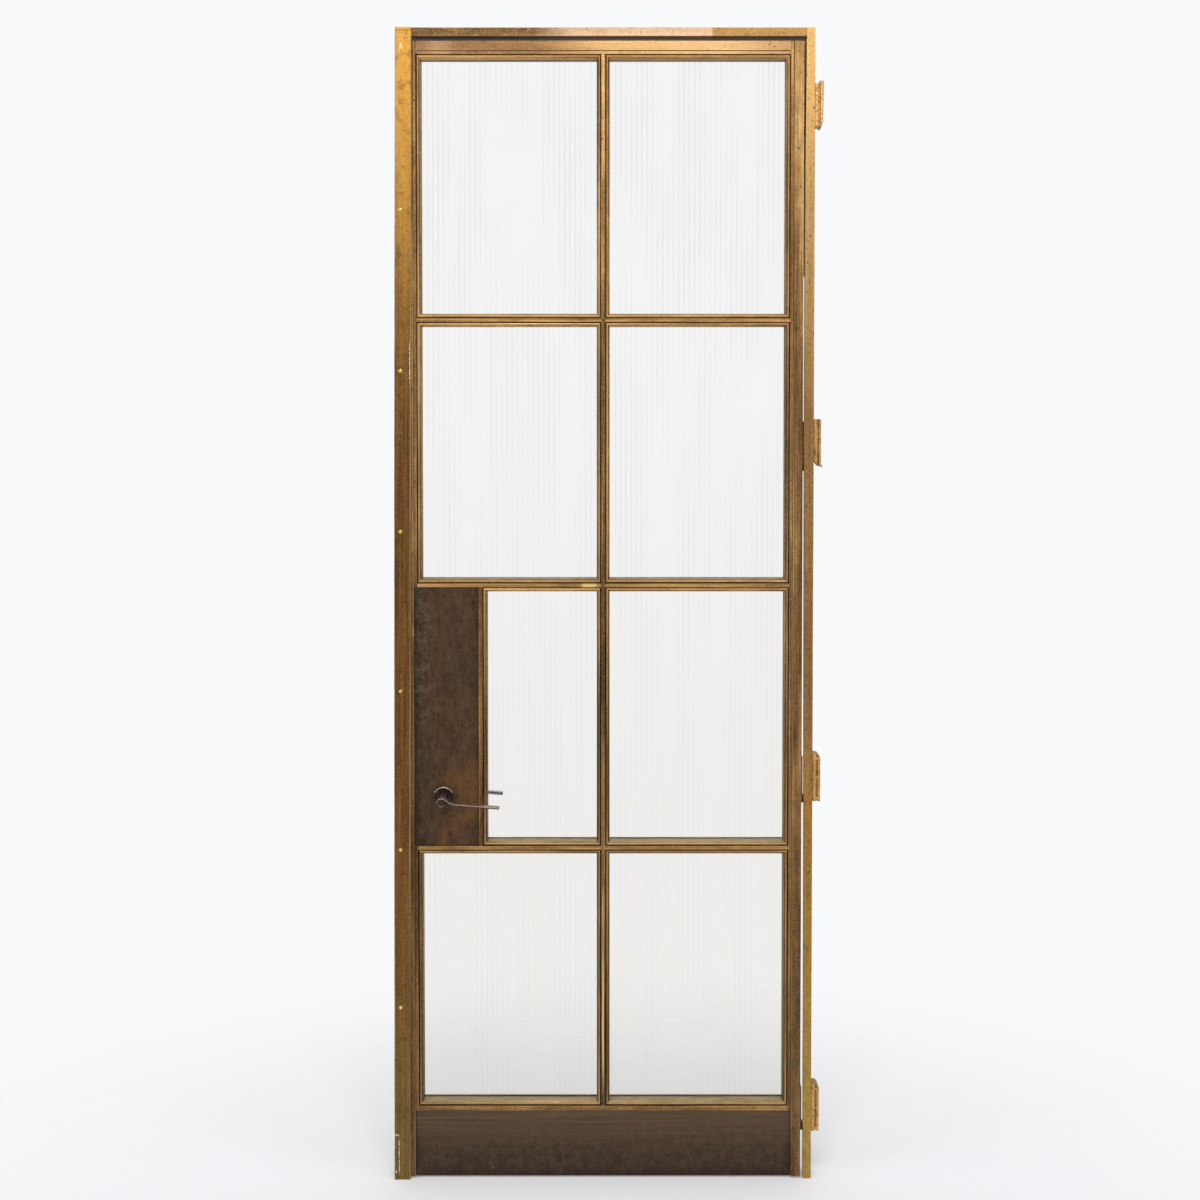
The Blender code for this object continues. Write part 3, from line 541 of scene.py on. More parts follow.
class SectionSettings(bpy.types.PropertyGroup):
    edge_radius: length_property("Edge radius", "How far outer edges are rounded", 0.0006)
    dark_patina: colour_property("Dark patina", "Deepest brown of the patina", (0.085, 0.048, 0.022))
    brown_patina: colour_property("Brown patina", "Usual brown of the patina", (0.33, 0.175, 0.066))
    golden_metal: colour_property("Golden metal", "Where the patina has thinned", (0.66, 0.40, 0.15))
    bright_edge: colour_property("Bright edge", "Metal rubbed bare on edges", (0.80, 0.53, 0.23))
    # The glow is a painted highlight beside the middle crossing, not a rub
    glow: colour_property("Glow", "Bright rub beside the middle crossing", (1.0, 0.78, 0.32))
    chipped: colour_property("Chipped", "Pinkish chips on the latch stile", (0.55, 0.24, 0.14))
    verdigris: colour_property("Verdigris", "Grey-green bloom on the patina", (0.105, 0.115, 0.075))
    putty: colour_property("Putty", "Pale dust and putty on the panes' lower ledges", (0.50, 0.39, 0.22))
    gloss: FloatProperty(name="Lowest roughness", description="Roughness of rubbed metal", default=0.4)


class GlassSettings(bpy.types.PropertyGroup):
    reed_pitch: length_property("Reed pitch", "Distance from one reed to the next", 0.0127, 0.001)
    reed_relief: length_property("Reed relief", "Height of a reed", 0.0005)
    reed_steps: IntProperty(
        name="Reed steps", description="Facets of one reed", default=8, min=4, max=24
    )
    tint: colour_property("Tint", "Colour of the glass", (0.90, 0.885, 0.86))


class PlateSettings(bpy.types.PropertyGroup):
    edge_radius: length_property("Edge radius", "How far outer edges are rounded", 0.0005)
    ground: colour_property("Ground", "Dark brown of the plates", (0.062, 0.040, 0.026))
    warm: colour_property("Warm centre", "Reddish brown of cleaner places", (0.135, 0.066, 0.031))
    glow: colour_property("Glow", "Golden brown low on the lock plate", (0.20, 0.095, 0.034))
    kick_top: colour_property("Kick plate's top", "Paler brown of its upper part", (0.155, 0.100, 0.060))
    scuff: colour_property("Scuffs", "Dull grey of rubs and scratches", (0.215, 0.165, 0.12))


class StripSettings(bpy.types.PropertyGroup):
    chamfer: length_property("Chamfer", "Width of the lighter bevel at both edges", 0.0016)
    waviness: length_property("Waviness", "How far the edges wander", 0.0004)
    joint_drop: length_property("Joint drop", "Distance of the top joint line below the end", 0.0075)
    # Golden lies on the top, where it is partly a painted highlight of the light from above, and in
    # streaks
    golden: colour_property("Golden", "Cleaned metal at the top", (0.62, 0.32, 0.065))
    brown: colour_property("Brown", "Patina in the middle", (0.150, 0.062, 0.020))
    olive: colour_property("Olive", "Greenish brown near the foot", (0.15, 0.10, 0.036))
    bright: colour_property("Bright", "Scratches and rubbed edges", (0.95, 0.78, 0.5))


class ScrewSettings(bpy.types.PropertyGroup):
    head_radius: length_property("Head radius", "Radius of a screw head", 0.0045, 0.001)
    head_rise: length_property("Head rise", "Height of the dome above the strip", 0.0008)
    slot_width: length_property("Slot width", "Width of the driver slot", 0.0011)
    metal: colour_property("Metal", "Rubbed yellow metal", (0.98, 0.68, 0.18))


class LugSettings(bpy.types.PropertyGroup):
    grain_size: length_property("Grain size", "Edge of the casting's cells", 0.0012, 0.0005)
    pitting: length_property("Pitting", "Depth of the rough casting's hollows", 0.0011)
    rivet_radius: length_property("Rivet radius", "Radius of the rivets in the lower lugs", 0.0026)
    metal: colour_property("Metal", "Rough golden casting", (0.74, 0.44, 0.16))
    shade: colour_property("Shade", "Brown in the casting's hollows", (0.20, 0.10, 0.035))


class LeverSettings(bpy.types.PropertyGroup):
    edge_radius: length_property("Edge radius", "How far outer edges are rounded", 0.001)
    ground: colour_property("Ground", "Dark bronze of the handles", (0.040, 0.028, 0.022))
    # Rubbed and edge go on upward faces and upper edges: partly rub, partly a painted highlight from
    # above
    rubbed: colour_property("Rubbed", "Lighter metal where hands have rubbed", (0.42, 0.32, 0.26))
    edge: colour_property("Edge", "Pinkish metal on rubbed edges", (0.85, 0.62, 0.50))


class StageSettings(bpy.types.PropertyGroup):
    camera_place: FloatVectorProperty(
        name="Camera place", description="Where the camera stands", default=(0.4998, -4.0215, 0.540),
        subtype="TRANSLATION",
    )
    camera_pitch: FloatProperty(
        name="Camera pitch", description="Turn of the camera up from straight down",
        default=math.radians(88.13), subtype="ANGLE",
    )
    camera_lens: FloatProperty(name="Lens", description="Focal length in millimetres", default=50.0)
    camera_shift: FloatProperty(name="Shift", description="Upward shift of the view", default=-0.1338)
    key_power: FloatProperty(name="Key power", description="Power of the high front light", default=66.0)
    fill_power: FloatProperty(name="Fill power", description="Power of each side light", default=22.0)
    room_light: FloatProperty(
        name="Room light", description="Strength of the light all round", default=0.62
    )


# Operators


def bowed_jamb(radius):
    """The hinge jamb with its lip bent towards the leaf and its rebate closed at the top."""
    low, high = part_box("hinge_jamb")
    bm = merged_copy("hinge_jamb")
    cuts = [low.z + step * (high.z - low.z) / JAMB_CUTS for step in range(1, JAMB_CUTS)]
    for height in sorted(cuts + [CLOSED_ABOVE]) + [CLOSED_ABOVE + 2 * CLOSED_STEP]:
        bmesh.ops.bisect_plane(
            bm, geom=bm.verts[:] + bm.edges[:] + bm.faces[:], plane_co=(0.0, 0.0, height),
            plane_no=(0.0, 0.0, 1.0),
        )
    for vertex in bm.verts:
        if vertex.co.x < low.x + NEAR:
            vertex.co.x -= jamb_bow(vertex.co.z)
        elif vertex.co.x < low.x + JAMB_REBATE and vertex.co.z > CLOSED_ABOVE + CLOSED_STEP:
            vertex.co.x = low.x - CLOSED_PAST_LIP
    bmesh.ops.dissolve_degenerate(bm, edges=bm.edges, dist=1e-6)
    mark_grooves(bm)
    soften(bm, radius)
    return bm


def sagging_head(radius):
    """The head with its rear lower edge let down, so that no light shows over the leaf."""
    low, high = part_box("head")
    bm = merged_copy("head")
    for vertex in bm.verts:
        if vertex.co.z < low.z + NEAR and vertex.co.y > high.y - NEAR:
            vertex.co.z -= HEAD_SAG
    soften(bm, radius)
    return bm


def leaning_jamb(radius):
    """The latch jamb with its outer face leaning in towards the leaf."""
    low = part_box("latch_jamb")[0]
    bm = merged_copy("latch_jamb")
    for vertex in bm.verts:
        if vertex.co.x < low.x + NEAR:
            vertex.co.x += latch_lean(vertex.co.z)
    soften(bm, radius)
    return bm


class DOOR_OT_sections(bpy.types.Operator):
    """Finish the frame's jambs and head and the leaf's stiles, rails and bars"""

    bl_idname = "door.sections"
    bl_label = "Sections"

    def execute(self, context):
        settings = context.scene.door_sections
        upright = bronze_finish("patinated_bronze_upright", settings, UPRIGHT, 0.01)
        level = bronze_finish(
            "patinated_bronze_level", settings, LEVEL, 0.09, (5.0, 2.0, 1.0), lines=TRANSOM_MIDDLES
        )
        jamb = bronze_finish(
            "patinated_bronze_jamb", settings, UPRIGHT, 0.11, (1.0, 7.0, 3.0),
            ("Z", 0.5, 0.9, JAMB_ZONES),
        )
        head = bronze_finish(
            "patinated_bronze_head", settings, LEVEL, 0.04, (2.0, 1.0, 9.0),
            ("X", 0.65, 0.95, HEAD_ZONES),
        )
        rail = bronze_finish(
            "patinated_bronze_top_rail", settings, LEVEL, 0.1, (3.0, 2.0, 4.0),
            ("X", 0.65, 0.95, RAIL_ZONES),
        )
        slot = "patinated_bronze"
        radius = settings.edge_radius
        for node, shaped, material in (
            ("hinge_jamb", bowed_jamb, jamb), ("head", sagging_head, head),
            ("latch_jamb", leaning_jamb, jamb),
        ):
            settle(finished(f"{node}_finished", shaped(radius), material), "frame", slot, node)
        for node in UPRIGHTS + RAILS:
            material = rail if node == "top_rail" else upright if node in UPRIGHTS else level
            softened_piece(node, "leaf", slot, material, radius)
        return {"FINISHED"}


class DOOR_OT_beads(bpy.types.Operator):
    """Finish the glazing beads that run round each pane"""

    bl_idname = "door.beads"
    bl_label = "Glazing beads"

    def execute(self, context):
        settings = context.scene.door_sections
        upright = bronze_finish("patinated_bronze_bead_upright", settings, UPRIGHT, 0.0, (4.0, 4.0, 4.0))
        level = bronze_finish("patinated_bronze_bead_level", settings, LEVEL, 0.09, (6.0, 1.0, 2.0))
        for pane in PANES:
            node = f"bead_ring_{pane}"
            low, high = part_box(node)
            bm = merged_copy(node)
            mark_grooves(bm)
            soften(bm, settings.edge_radius)
            putty = bm.faces.layers.float.new("putty")
            for face in bm.faces:
                middle = face.calc_center_median()
                if face.normal.z > 0.3 and middle.z < low.z + LEDGE_HEIGHT:
                    face[putty] = 1.0 if face.normal.z > 0.8 else 0.35
                sideways = min(middle.x - low.x, high.x - middle.x)
                upwards = min(middle.z - low.z, high.z - middle.z)
                face.material_index = 0 if sideways < upwards else 1
            piece = finished(f"{node}_finished", bm, upright)
            piece.data.materials.append(level)
            settle(piece, "leaf", "patinated_bronze", node)
        return {"FINISHED"}


def reed_tree(settings):
    """A closed pane whose front is a row of upright half-round reeds."""
    tree = Grower(
        "Reeded pane",
        (
            ("Width", "Float", 0.4),
            ("Height", "Float", 0.6),
            ("Thickness", "Float", 0.006),
            ("Centre", "Vector", (0.0, 0.0, 0.0)),
            ("Pitch", "Float", settings.reed_pitch),
            ("Relief", "Float", settings.reed_relief),
            ("Columns", "Int", 200),
            ("Glass", "Material", None),
        ),
    )
    given = tree.given
    size = tree.add(
        "ShaderNodeCombineXYZ", {0: given["Width"], 1: given["Thickness"], 2: given["Height"]}
    )
    slab = tree.add("GeometryNodeMeshCube", {"Size": size, "Vertices X": given["Columns"]})
    place = tree.add("ShaderNodeSeparateXYZ", {0: tree.add("GeometryNodeInputPosition")}).outputs
    turn = tree.combine("MULTIPLY", tree.combine("DIVIDE", place["X"], given["Pitch"]), math.pi)
    wave = tree.combine("ABSOLUTE", tree.combine("COSINE", turn))
    hollow = tree.combine("SUBTRACT", 1.0, wave)
    captured = tree.add("GeometryNodeCaptureAttribute")
    captured.capture_items.new("FLOAT", "Hollow")
    tree.feed(captured.inputs["Geometry"], slab)
    tree.feed(captured.inputs["Hollow"], hollow)
    front = tree.add(
        "FunctionNodeCompare", {0: place["Y"]}, data_type="FLOAT", operation="LESS_THAN"
    )
    inwards = tree.add("ShaderNodeCombineXYZ", {1: tree.combine("MULTIPLY", hollow, given["Relief"])})
    carved = tree.add(
        "GeometryNodeSetPosition", {"Geometry": captured, "Selection": front, "Offset": inwards}
    )
    kept = tree.add(
        "GeometryNodeStoreNamedAttribute",
        {"Geometry": carved, "Name": "valley", "Value": captured.outputs["Hollow"]},
        data_type="FLOAT", domain="POINT",
    )
    moved = tree.add("GeometryNodeTransform", {"Geometry": kept, "Translation": given["Centre"]})
    tree.end(moved, given["Glass"])
    return tree


def glass_finish(settings):
    """Clear glass, warmer low down and with painted shade between the reeds, under a thin film."""
    finish = Finish(
        "reeded_glass_clear",
        {
            "Roughness": 0.02, "IOR": 1.15, "Transmission Weight": 1.0, "Alpha": 0.4,
            "Coat Weight": 0.3, "Coat Roughness": 0.16,
        },
    )
    film = finish.grain(7.0, shift=(1.0, 2.0, 3.0), detail=3.0)
    uneven = finish.grain(1.0, (16.0, 0.0, 1.5), (5.0, 0.0, 2.0), detail=3.0)
    dust = finish.grain(160.0, detail=2.0)
    tint = settings.tint
    lower = tuple(channel * share for channel, share in zip(tint, (0.86, 0.83, 0.76)))
    finish.skin = finish.blend(finish.band_along("Z", 0.7, -0.7), tint, lower)
    finish.lay(darker(tint, 0.9), finish.band(film, 0.4, 0.7, 0.0, 0.3))
    # Painted shade in the valleys between the reeds, standing in for the stripes that their refraction
    # makes
    valley = finish.band(finish.mark("valley"), 0.1, 0.95)
    finish.lay(darker(tint, 0.76), valley, finish.band(uneven, 0.38, 0.64))
    finish.relief(dust, 0.00002, 0.05)
    return finish.done()


class DOOR_OT_glass(bpy.types.Operator):
    """Make the eight reeded panes with Geometry Nodes"""

    bl_idname = "door.glass"
    bl_label = "Reeded glass"

    def execute(self, context):
        settings = context.scene.door_glass
        material = glass_finish(settings)
        tree = reed_tree(settings)
        for pane in PANES:
            node = f"glass_{pane}"
            low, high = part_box(node)
            size = high - low
            columns = round(size.x / settings.reed_pitch * settings.reed_steps) + 1
            piece = tree.grow(
                f"{node}_reeded",
                {
                    "Width": size.x, "Height": size.z, "Thickness": size.y,
                    "Centre": tuple((low + high) / 2), "Pitch": settings.reed_pitch,
                    "Relief": settings.reed_relief, "Columns": columns, "Glass": material,
                },
            )
            piece.data.shade_smooth()
            piece.data.set_sharp_from_angle(angle=math.radians(50.0))
            settle(piece, "leaf", "reeded_glass", node)
        return {"FINISHED"}


def plate_ground(name, settings, low, high):
    """Nearly black brown with fine mottling and a darker border, which both kinds of plate share."""
    finish = Finish(name, {"Metallic": 0.85, "Specular IOR Level": 0.25})
    mottle = finish.grain(52.0, (1.0, 1.0, 0.75), detail=6.0, roughness=0.75)
    fine = finish.grain(520.0, detail=2.0)
    ground = settings.ground
    finish.skin = finish.ramp(
        mottle, ((0.32, darker(ground, 0.6)), (0.5, ground), (0.68, darker(ground, 1.7)))
    )
    finish.lay(darker(ground, 2.6), finish.band(fine, 0.5, 0.72, 0.0, 0.5))
    sides = finish.combine(
        "MAXIMUM",
        finish.band_along("X", low.x + 0.02, low.x + 0.002),
        finish.band_along("X", high.x - 0.02, high.x - 0.002),
    )
    border = finish.combine("MAXIMUM", finish.band_along("Z", low.z + 0.03, low.z), sides)
    finish.lay(darker(ground, 0.45), border, 0.55)
    finish.rough(mottle, 0.45, 0.65)
    finish.relief(mottle, 0.0003, 0.3)
    return finish


def scuffed(finish, settings, where, shift):
    """Grey rubs where they are dense, stray scratches and a few light chips everywhere."""
    scuff = settings.scuff
    rubs = finish.grain(40.0, (1.0, 1.0, 1.3), shift, detail=7.0, roughness=0.8)
    finish.lay(scuff, finish.band(rubs, 0.44, 0.72), where)
    for stretch, most in (((420.0, 30.0, 30.0), 0.4), ((40.0, 30.0, 400.0), 0.3)):
        scratches = finish.grain(1.0, stretch, shift, detail=2.0)
        finish.lay(scuff, finish.band(scratches, 0.70, 0.8, 0.0, most))
    chips = finish.grain(190.0, shift=shift, detail=1.0)
    finish.lay(darker(scuff, 1.7), finish.band(chips, 0.75, 0.8, 0.0, 0.8))
    finish.lay(scuff, finish.mark("edge_wear"), 0.4)
    return finish.done()


def lock_plate_finish(name, settings):
    """Warm and reddish in the middle, scuffed grey near its upper left edge."""
    low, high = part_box("lock_plate_front")
    finish = plate_ground(name, settings, low, high)
    middle = (low.x + high.x) / 2 + WARM_OFFSET
    clouds = finish.grain(11.0, (1.2, 1.0, 0.8), (2.0, 0.0, 5.0), detail=6.0, roughness=0.7)
    inner = finish.band(finish.away("X", middle), 0.085, 0.03)
    finish.lay(settings.warm, inner, finish.band(clouds, 0.34, 0.68, 0.15, 0.85))
    brush = finish.grain(1.0, (240.0, 240.0, 12.0), detail=5.0, roughness=0.7)
    finish.lay(settings.warm, finish.band(brush, 0.42, 0.7, 0.0, 0.5))
    finish.lay(darker(settings.ground, 0.7), finish.band(brush, 0.5, 0.3, 0.0, 0.5))
    finish.lay(settings.glow, finish.patch(*LOCK_GLOW), finish.band(clouds, 0.46, 0.66, 0.0, 0.7))
    smudge = finish.grain(95.0, (1.0, 1.0, 0.6), (4.0, 1.0, 2.0), detail=6.0, roughness=0.8)
    finish.lay(darker(settings.ground, 0.45), finish.band(smudge, 0.5, 0.34, 0.0, 0.6))
    finish.lay(darker(settings.scuff, 0.8), finish.band(smudge, 0.52, 0.7, 0.0, 0.45))
    left = finish.band_along("X", low.x + 0.07, low.x + 0.012)
    upper = finish.band_along("Z", SCUFFED_FROM, SCUFFED_FULLY, 0.12, 0.65)
    return scuffed(finish, settings, finish.times(left, upper), (7.0, 0.0, 1.3))


def kick_plate_finish(name, settings):
    """Brushed from side to side, paler at the top and nearly black at the foot."""
    low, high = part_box("kick_plate_front")
    finish = plate_ground(name, settings, low, high)
    brushed = finish.grain(1.0, (5.0, 200.0, 300.0), detail=4.0)
    upper = finish.band_along("Z", low.z + 0.03, high.z)
    finish.lay(settings.kick_top, upper, finish.band(brushed, 0.3, 0.7, 0.35, 0.9))
    return scuffed(finish, settings, 0.1, (1.0, 0.0, 6.3))


class DOOR_OT_plates(bpy.types.Operator):
    """Finish the dark lock plates and kick plates"""

    bl_idname = "door.plates"
    bl_label = "Plates"

    def execute(self, context):
        settings = context.scene.door_plates
        lock = lock_plate_finish("dark_bronze_lock_plate", settings)
        kick = kick_plate_finish("dark_bronze_kick_plate", settings)
        for side in ("front", "rear"):
            for kind, material in (("lock_plate", lock), ("kick_plate", kick)):
                softened_piece(
                    f"{kind}_{side}", "leaf", "dark_bronze_plate", material, settings.edge_radius
                )
        return {"FINISHED"}


def strip_finish(settings):
    """Golden at the top, partly as a painted highlight of the light from above, brown in the middle and
    olive at the foot, with bright scratches.
    """
    finish = Finish("stop_strip_brass_worn", {"Metallic": 0.9})
    streaks = finish.grain(1.0, (260.0, 260.0, 4.0))
    clouds = finish.grain(1.0, (24.0, 24.0, 1.6), (3.0, 1.0, 2.0), detail=4.0)
    blots = finish.grain(30.0, detail=5.0, roughness=0.7)
    mottle = finish.grain(320.0, detail=4.0, roughness=0.75)
    height = finish.axes["Z"]
    top = finish.band(finish.plus(height, finish.times(clouds, 0.9)), 0.9, 1.75)
    foot = finish.band(finish.plus(height, finish.times(clouds, 0.7)), -0.2, -1.0)
    shade = darker(settings.brown, 0.5)
    golden = settings.golden
    finish.skin = finish.blend(foot, settings.brown, settings.olive)
    # Painted light, with cleaner metal: golden towards the top
    finish.lay(golden, top)
    finish.lay(golden, finish.band(streaks, 0.35, 0.7, 0.0, 0.25))
    finish.lay(shade, finish.band(blots, 0.5, 0.7, 0.0, 0.5))
    finish.lay(shade, finish.band(mottle, 0.5, 0.34, 0.0, 0.55))
    finish.lay(golden, finish.band(mottle, 0.54, 0.7, 0.0, 0.5))
    finish.lay(
        settings.bright, finish.mark("edge_wear"), finish.band(clouds, 0.4, 0.7, 0.05, 0.55)
    )
    broken = finish.band(finish.grain(210.0, shift=(2.0, 2.0, 2.0), detail=3.0), 0.42, 0.5)
    for place, reach in STRIP_MARKS:
        finish.lay(settings.bright, finish.patch(place, reach), broken)
    finish.rough(streaks, 0.4, 0.6)
    finish.relief(blots, 0.0003, 0.3)
    return finish.done()


def strip_mesh(settings):
    """A chamfered bar whose edges wander a little, with a joint line and nicks at the foot."""
    low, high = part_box("stop_strip")
    bm = bmesh.new()
    wear = bm.faces.layers.float.new("edge_wear")
    joint = high.z - settings.joint_drop
    heights = sorted(
        {
            round(low.z + step * (high.z - low.z) / STRIP_RINGS, 5)
            for step in range(STRIP_RINGS + 1)
        }
        | {joint - JOINT_HALF_WIDTH, joint, joint + JOINT_HALF_WIDTH}
    )
    rings = []
    for height in heights:
        outer = settings.waviness * max(0.0, noise.noise((0.0, 0.3, height * 24.0)) + 0.35)
        inner = settings.waviness * max(0.0, noise.noise((4.0, 0.3, height * 17.0)) + 0.3)
        if height - low.z < NICKED_FOOT:
            outer += NICK_DEPTH * max(0.0, noise.noise((9.0, 1.0, height * 210.0)))
        sunk = JOINT_DEPTH if abs(height - joint) < 1e-6 else 0.0
        chamfer = settings.chamfer
        lean = latch_lean(height)
        left = low.x + lean + outer
        right = high.x + lean - inner
        face = low.y + sunk
        outline = (
            (left, high.y),
            (left, face + chamfer * 0.8),
            (left + chamfer, face),
            (right - chamfer, face),
            (right, face + chamfer * 0.8),
            (right, high.y),
        )
        rings.append([bm.verts.new((x, y, height)) for x, y in outline])
    count = len(rings[0])
    for below, above in zip(rings, rings[1:]):
        for place in range(count):
            after = (place + 1) % count
            face = bm.faces.new((below[place], below[after], above[after], above[place]))
            face[wear] = 1.0 if place in (1, 3) else 0.0
    bm.faces.new(rings[0][::-1])
    bm.faces.new(rings[-1])
    bmesh.ops.recalc_face_normals(bm, faces=bm.faces)
    return bm


class DOOR_OT_strip(bpy.types.Operator):
    """Make the golden stop strip over the latch side"""

    bl_idname = "door.strip"
    bl_label = "Stop strip"

    def execute(self, context):
        settings = context.scene.door_strip
        piece = finished("stop_strip_worn", strip_mesh(settings), strip_finish(settings))
        settle(piece, "frame", "stop_strip_brass", "stop_strip")
        return {"FINISHED"}


def screw_tree():
    """Slotted domed heads on a line of points, each turned its own way."""
    tree = Grower(
        "Slotted screws",
        (
            ("Count", "Int", 6),
            ("Lowest", "Vector", (0.0, 0.0, 0.0)),
            ("Pitch", "Vector", (0.0, 0.0, 0.384)),
            ("Head Radius", "Float", 0.0045),
            ("Flatness", "Vector", (1.0, 0.3, 1.0)),
            ("Slot", "Vector", (0.02, 0.002, 0.001)),
            ("Metal", "Material", None),
        ),
    )
    given = tree.given
    ball = tree.add(
        "GeometryNodeMeshUVSphere", {"Segments": 24, "Rings": 12, "Radius": given["Head Radius"]}
    )
    laid = tree.add("GeometryNodeTransform", {"Geometry": ball, "Rotation": (math.pi / 2, 0.0, 0.0)})
    dome = tree.add("GeometryNodeTransform", {"Geometry": laid, "Scale": given["Flatness"]})
    bar = tree.add("GeometryNodeMeshCube", {"Size": given["Slot"]})
    raised = tree.add(
        "GeometryNodeTransform", {"Geometry": bar, "Translation": (0.0, -SLOT_RISE, 0.0)}
    )
    slotted = tree.add("GeometryNodeMeshBoolean", {0: dome, 1: raised}, operation="DIFFERENCE")
    line = tree.add(
        "GeometryNodeMeshLine",
        {"Count": given["Count"], "Start Location": given["Lowest"], "Offset": given["Pitch"]},
    )
    turn = tree.add(
        "FunctionNodeRandomValue", {0: (0.0, 0.0, 0.0), 1: (0.0, math.pi, 0.0), "Seed": 5},
        data_type="FLOAT_VECTOR",
    )
    spread = tree.add(
        "GeometryNodeInstanceOnPoints", {"Points": line, "Instance": slotted, "Rotation": turn}
    )
    tree.end(spread, given["Metal"])
    return tree


def screw_finish(settings):
    finish = Finish("worn_screw_brass_rubbed", {"Metallic": 1.0})
    rub = finish.grain(700.0, detail=3.0)
    metal = settings.metal
    finish.skin = finish.ramp(
        rub, ((0.35, darker(metal, 0.35)), (0.5, metal), (0.7, darker(metal, 1.15)))
    )
    finish.rough(rub, 0.22, 0.42)
    return finish.done()


class DOOR_OT_screws(bpy.types.Operator):
    """Make the stop strip's slotted screws with Geometry Nodes"""

    bl_idname = "door.screws"
    bl_label = "Screws"

    def execute(self, context):
        settings = context.scene.door_screws
        tree = screw_tree()
        first, second = (sum(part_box(node), Vector()) / 2 for node in SCREWS[:2])
        lean = latch_lean(first.z)
        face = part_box("stop_strip")[0].y
        radius = settings.head_radius
        piece = tree.grow(
            "stop_screws_slotted",
            {
                "Count": len(SCREWS),
                "Lowest": (first.x + lean, face + SCREW_SUNK, first.z),
                "Pitch": (latch_lean(second.z) - lean, 0.0, second.z - first.z),
                "Head Radius": radius,
                "Flatness": (1.0, (settings.head_rise + SCREW_SUNK) / radius, 1.0),
                "Slot": (radius * 3.0, SLOT_HEIGHT, settings.slot_width),
                "Metal": screw_finish(settings),
            },
        )
        settle(piece, "frame", "worn_screw_brass", *SCREWS)
        return {"FINISHED"}


def lug_finish(settings):
    """Golden casting, brown in its hollows."""
    finish = Finish("rough_cast_brass_golden", {"Metallic": 0.85})
    lumps = finish.grain(150.0, detail=5.0, roughness=0.65)
    clouds = finish.grain(22.0, shift=(1.0, 5.0, 2.0), detail=4.0)
    metal = settings.metal
    shade = settings.shade
    finish.skin = finish.ramp(
        finish.plus(finish.times(lumps, 0.6), finish.times(clouds, 0.5)),
        ((0.38, shade), (0.52, darker(metal, 0.75)), (0.66, metal), (0.8, darker(metal, 1.2))),
    )
    finish.lay(darker(shade, 0.6), finish.band(finish.mark("pitting"), 0.5, 0.95, 0.0, 0.6))
    finish.rough(lumps, 0.36, 0.6)
    finish.relief(lumps, 0.0006, 0.6)
    return finish.done()


def remeshed(bm, name, cell):
    """The same form as an even skin of small cells."""
    mesh = bpy.data.meshes.new(name)
    bm.to_mesh(mesh)
    bm.free()
    holder = linked(name, mesh)
    modifier = holder.modifiers.new("skin", "REMESH")
    modifier.mode = "VOXEL"
    modifier.voxel_size = cell
    skin = bmesh.new()
    skin.from_mesh(evaluated_mesh(holder))
    return skin


def rough_cast(node, settings):
    """A lug with a pitted skin. The two lower lugs also have three rivets in their grooves."""
    low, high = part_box(node)
    form = merged_copy(node)
    if node in LUGS[:2]:
        for height in (low.z + 0.008, (low.z + high.z) / 2, high.z - 0.012):
            place = Matrix.Translation((low.x + RIVET_INSET, low.y + RIVET_DEPTH, height))
            bmesh.ops.create_uvsphere(
                form, u_segments=16, v_segments=10, radius=settings.rivet_radius, matrix=place
            )
    bm = remeshed(form, f"{node}_skin", settings.grain_size)
    pits = bm.verts.layers.float.new("pitting")
    bm.normal_update()
    moves = []
    for vertex in bm.verts:
        lumps = noise.fractal(vertex.co * 190.0, 0.9, 2.1, 4)
        coarse = noise.noise(vertex.co * 60.0)
        depth = min(1.0, max(0.0, 0.45 + 0.5 * lumps + 0.35 * coarse))
        moves.append((vertex, vertex.normal * -depth * settings.pitting))
        vertex[pits] = depth
    for vertex, move in moves:
        vertex.co += move
        vertex.co.x = min(max(vertex.co.x, low.x), high.x)
    return bm


class DOOR_OT_lugs(bpy.types.Operator):
    """Make the rough cast wall lugs on the hinge jamb"""

    bl_idname = "door.lugs"
    bl_label = "Wall lugs"

    def execute(self, context):
        settings = context.scene.door_lugs
        material = lug_finish(settings)
        for node in LUGS:
            piece = finished(f"{node}_cast", rough_cast(node, settings), material)
            piece.data.shade_smooth()
            settle(piece, "frame", "rough_cast_brass", node)
        return {"FINISHED"}


def lever_finish(name, settings, rub_and_highlight=1.0):
    """Dark handle bronze, lighter on its upper faces and its edges, partly where hands rub and partly as
    a painted highlight from light above.
    """
    finish = Finish(name, {"Metallic": 0.85, "Specular IOR Level": 0.2})
    rub = finish.grain(60.0, detail=4.0)
    fine = finish.grain(1.0, (60.0, 700.0, 700.0), detail=3.0)
    rubbed = settings.rubbed
    finish.skin = settings.ground
    finish.lay(darker(rubbed, 0.5), finish.band(rub, 0.4, 0.7, 0.0, 0.2))
    finish.lay(darker(rubbed, 0.6), finish.band(fine, 0.5, 0.7, 0.0, 0.2))
    # Painted highlight, with rub: lighter on the upper faces and the upper edges
    finish.lay(rubbed, finish.mark("upper_face"), finish.band(rub, 0.3, 0.6, 0.5, 0.9), rub_and_highlight)
    finish.lay(settings.edge, finish.mark("edge_wear"), rub_and_highlight)
    finish.rough(fine, 0.3, 0.46)
    finish.relief(rub, 0.0002, 0.3)
    return finish.done()


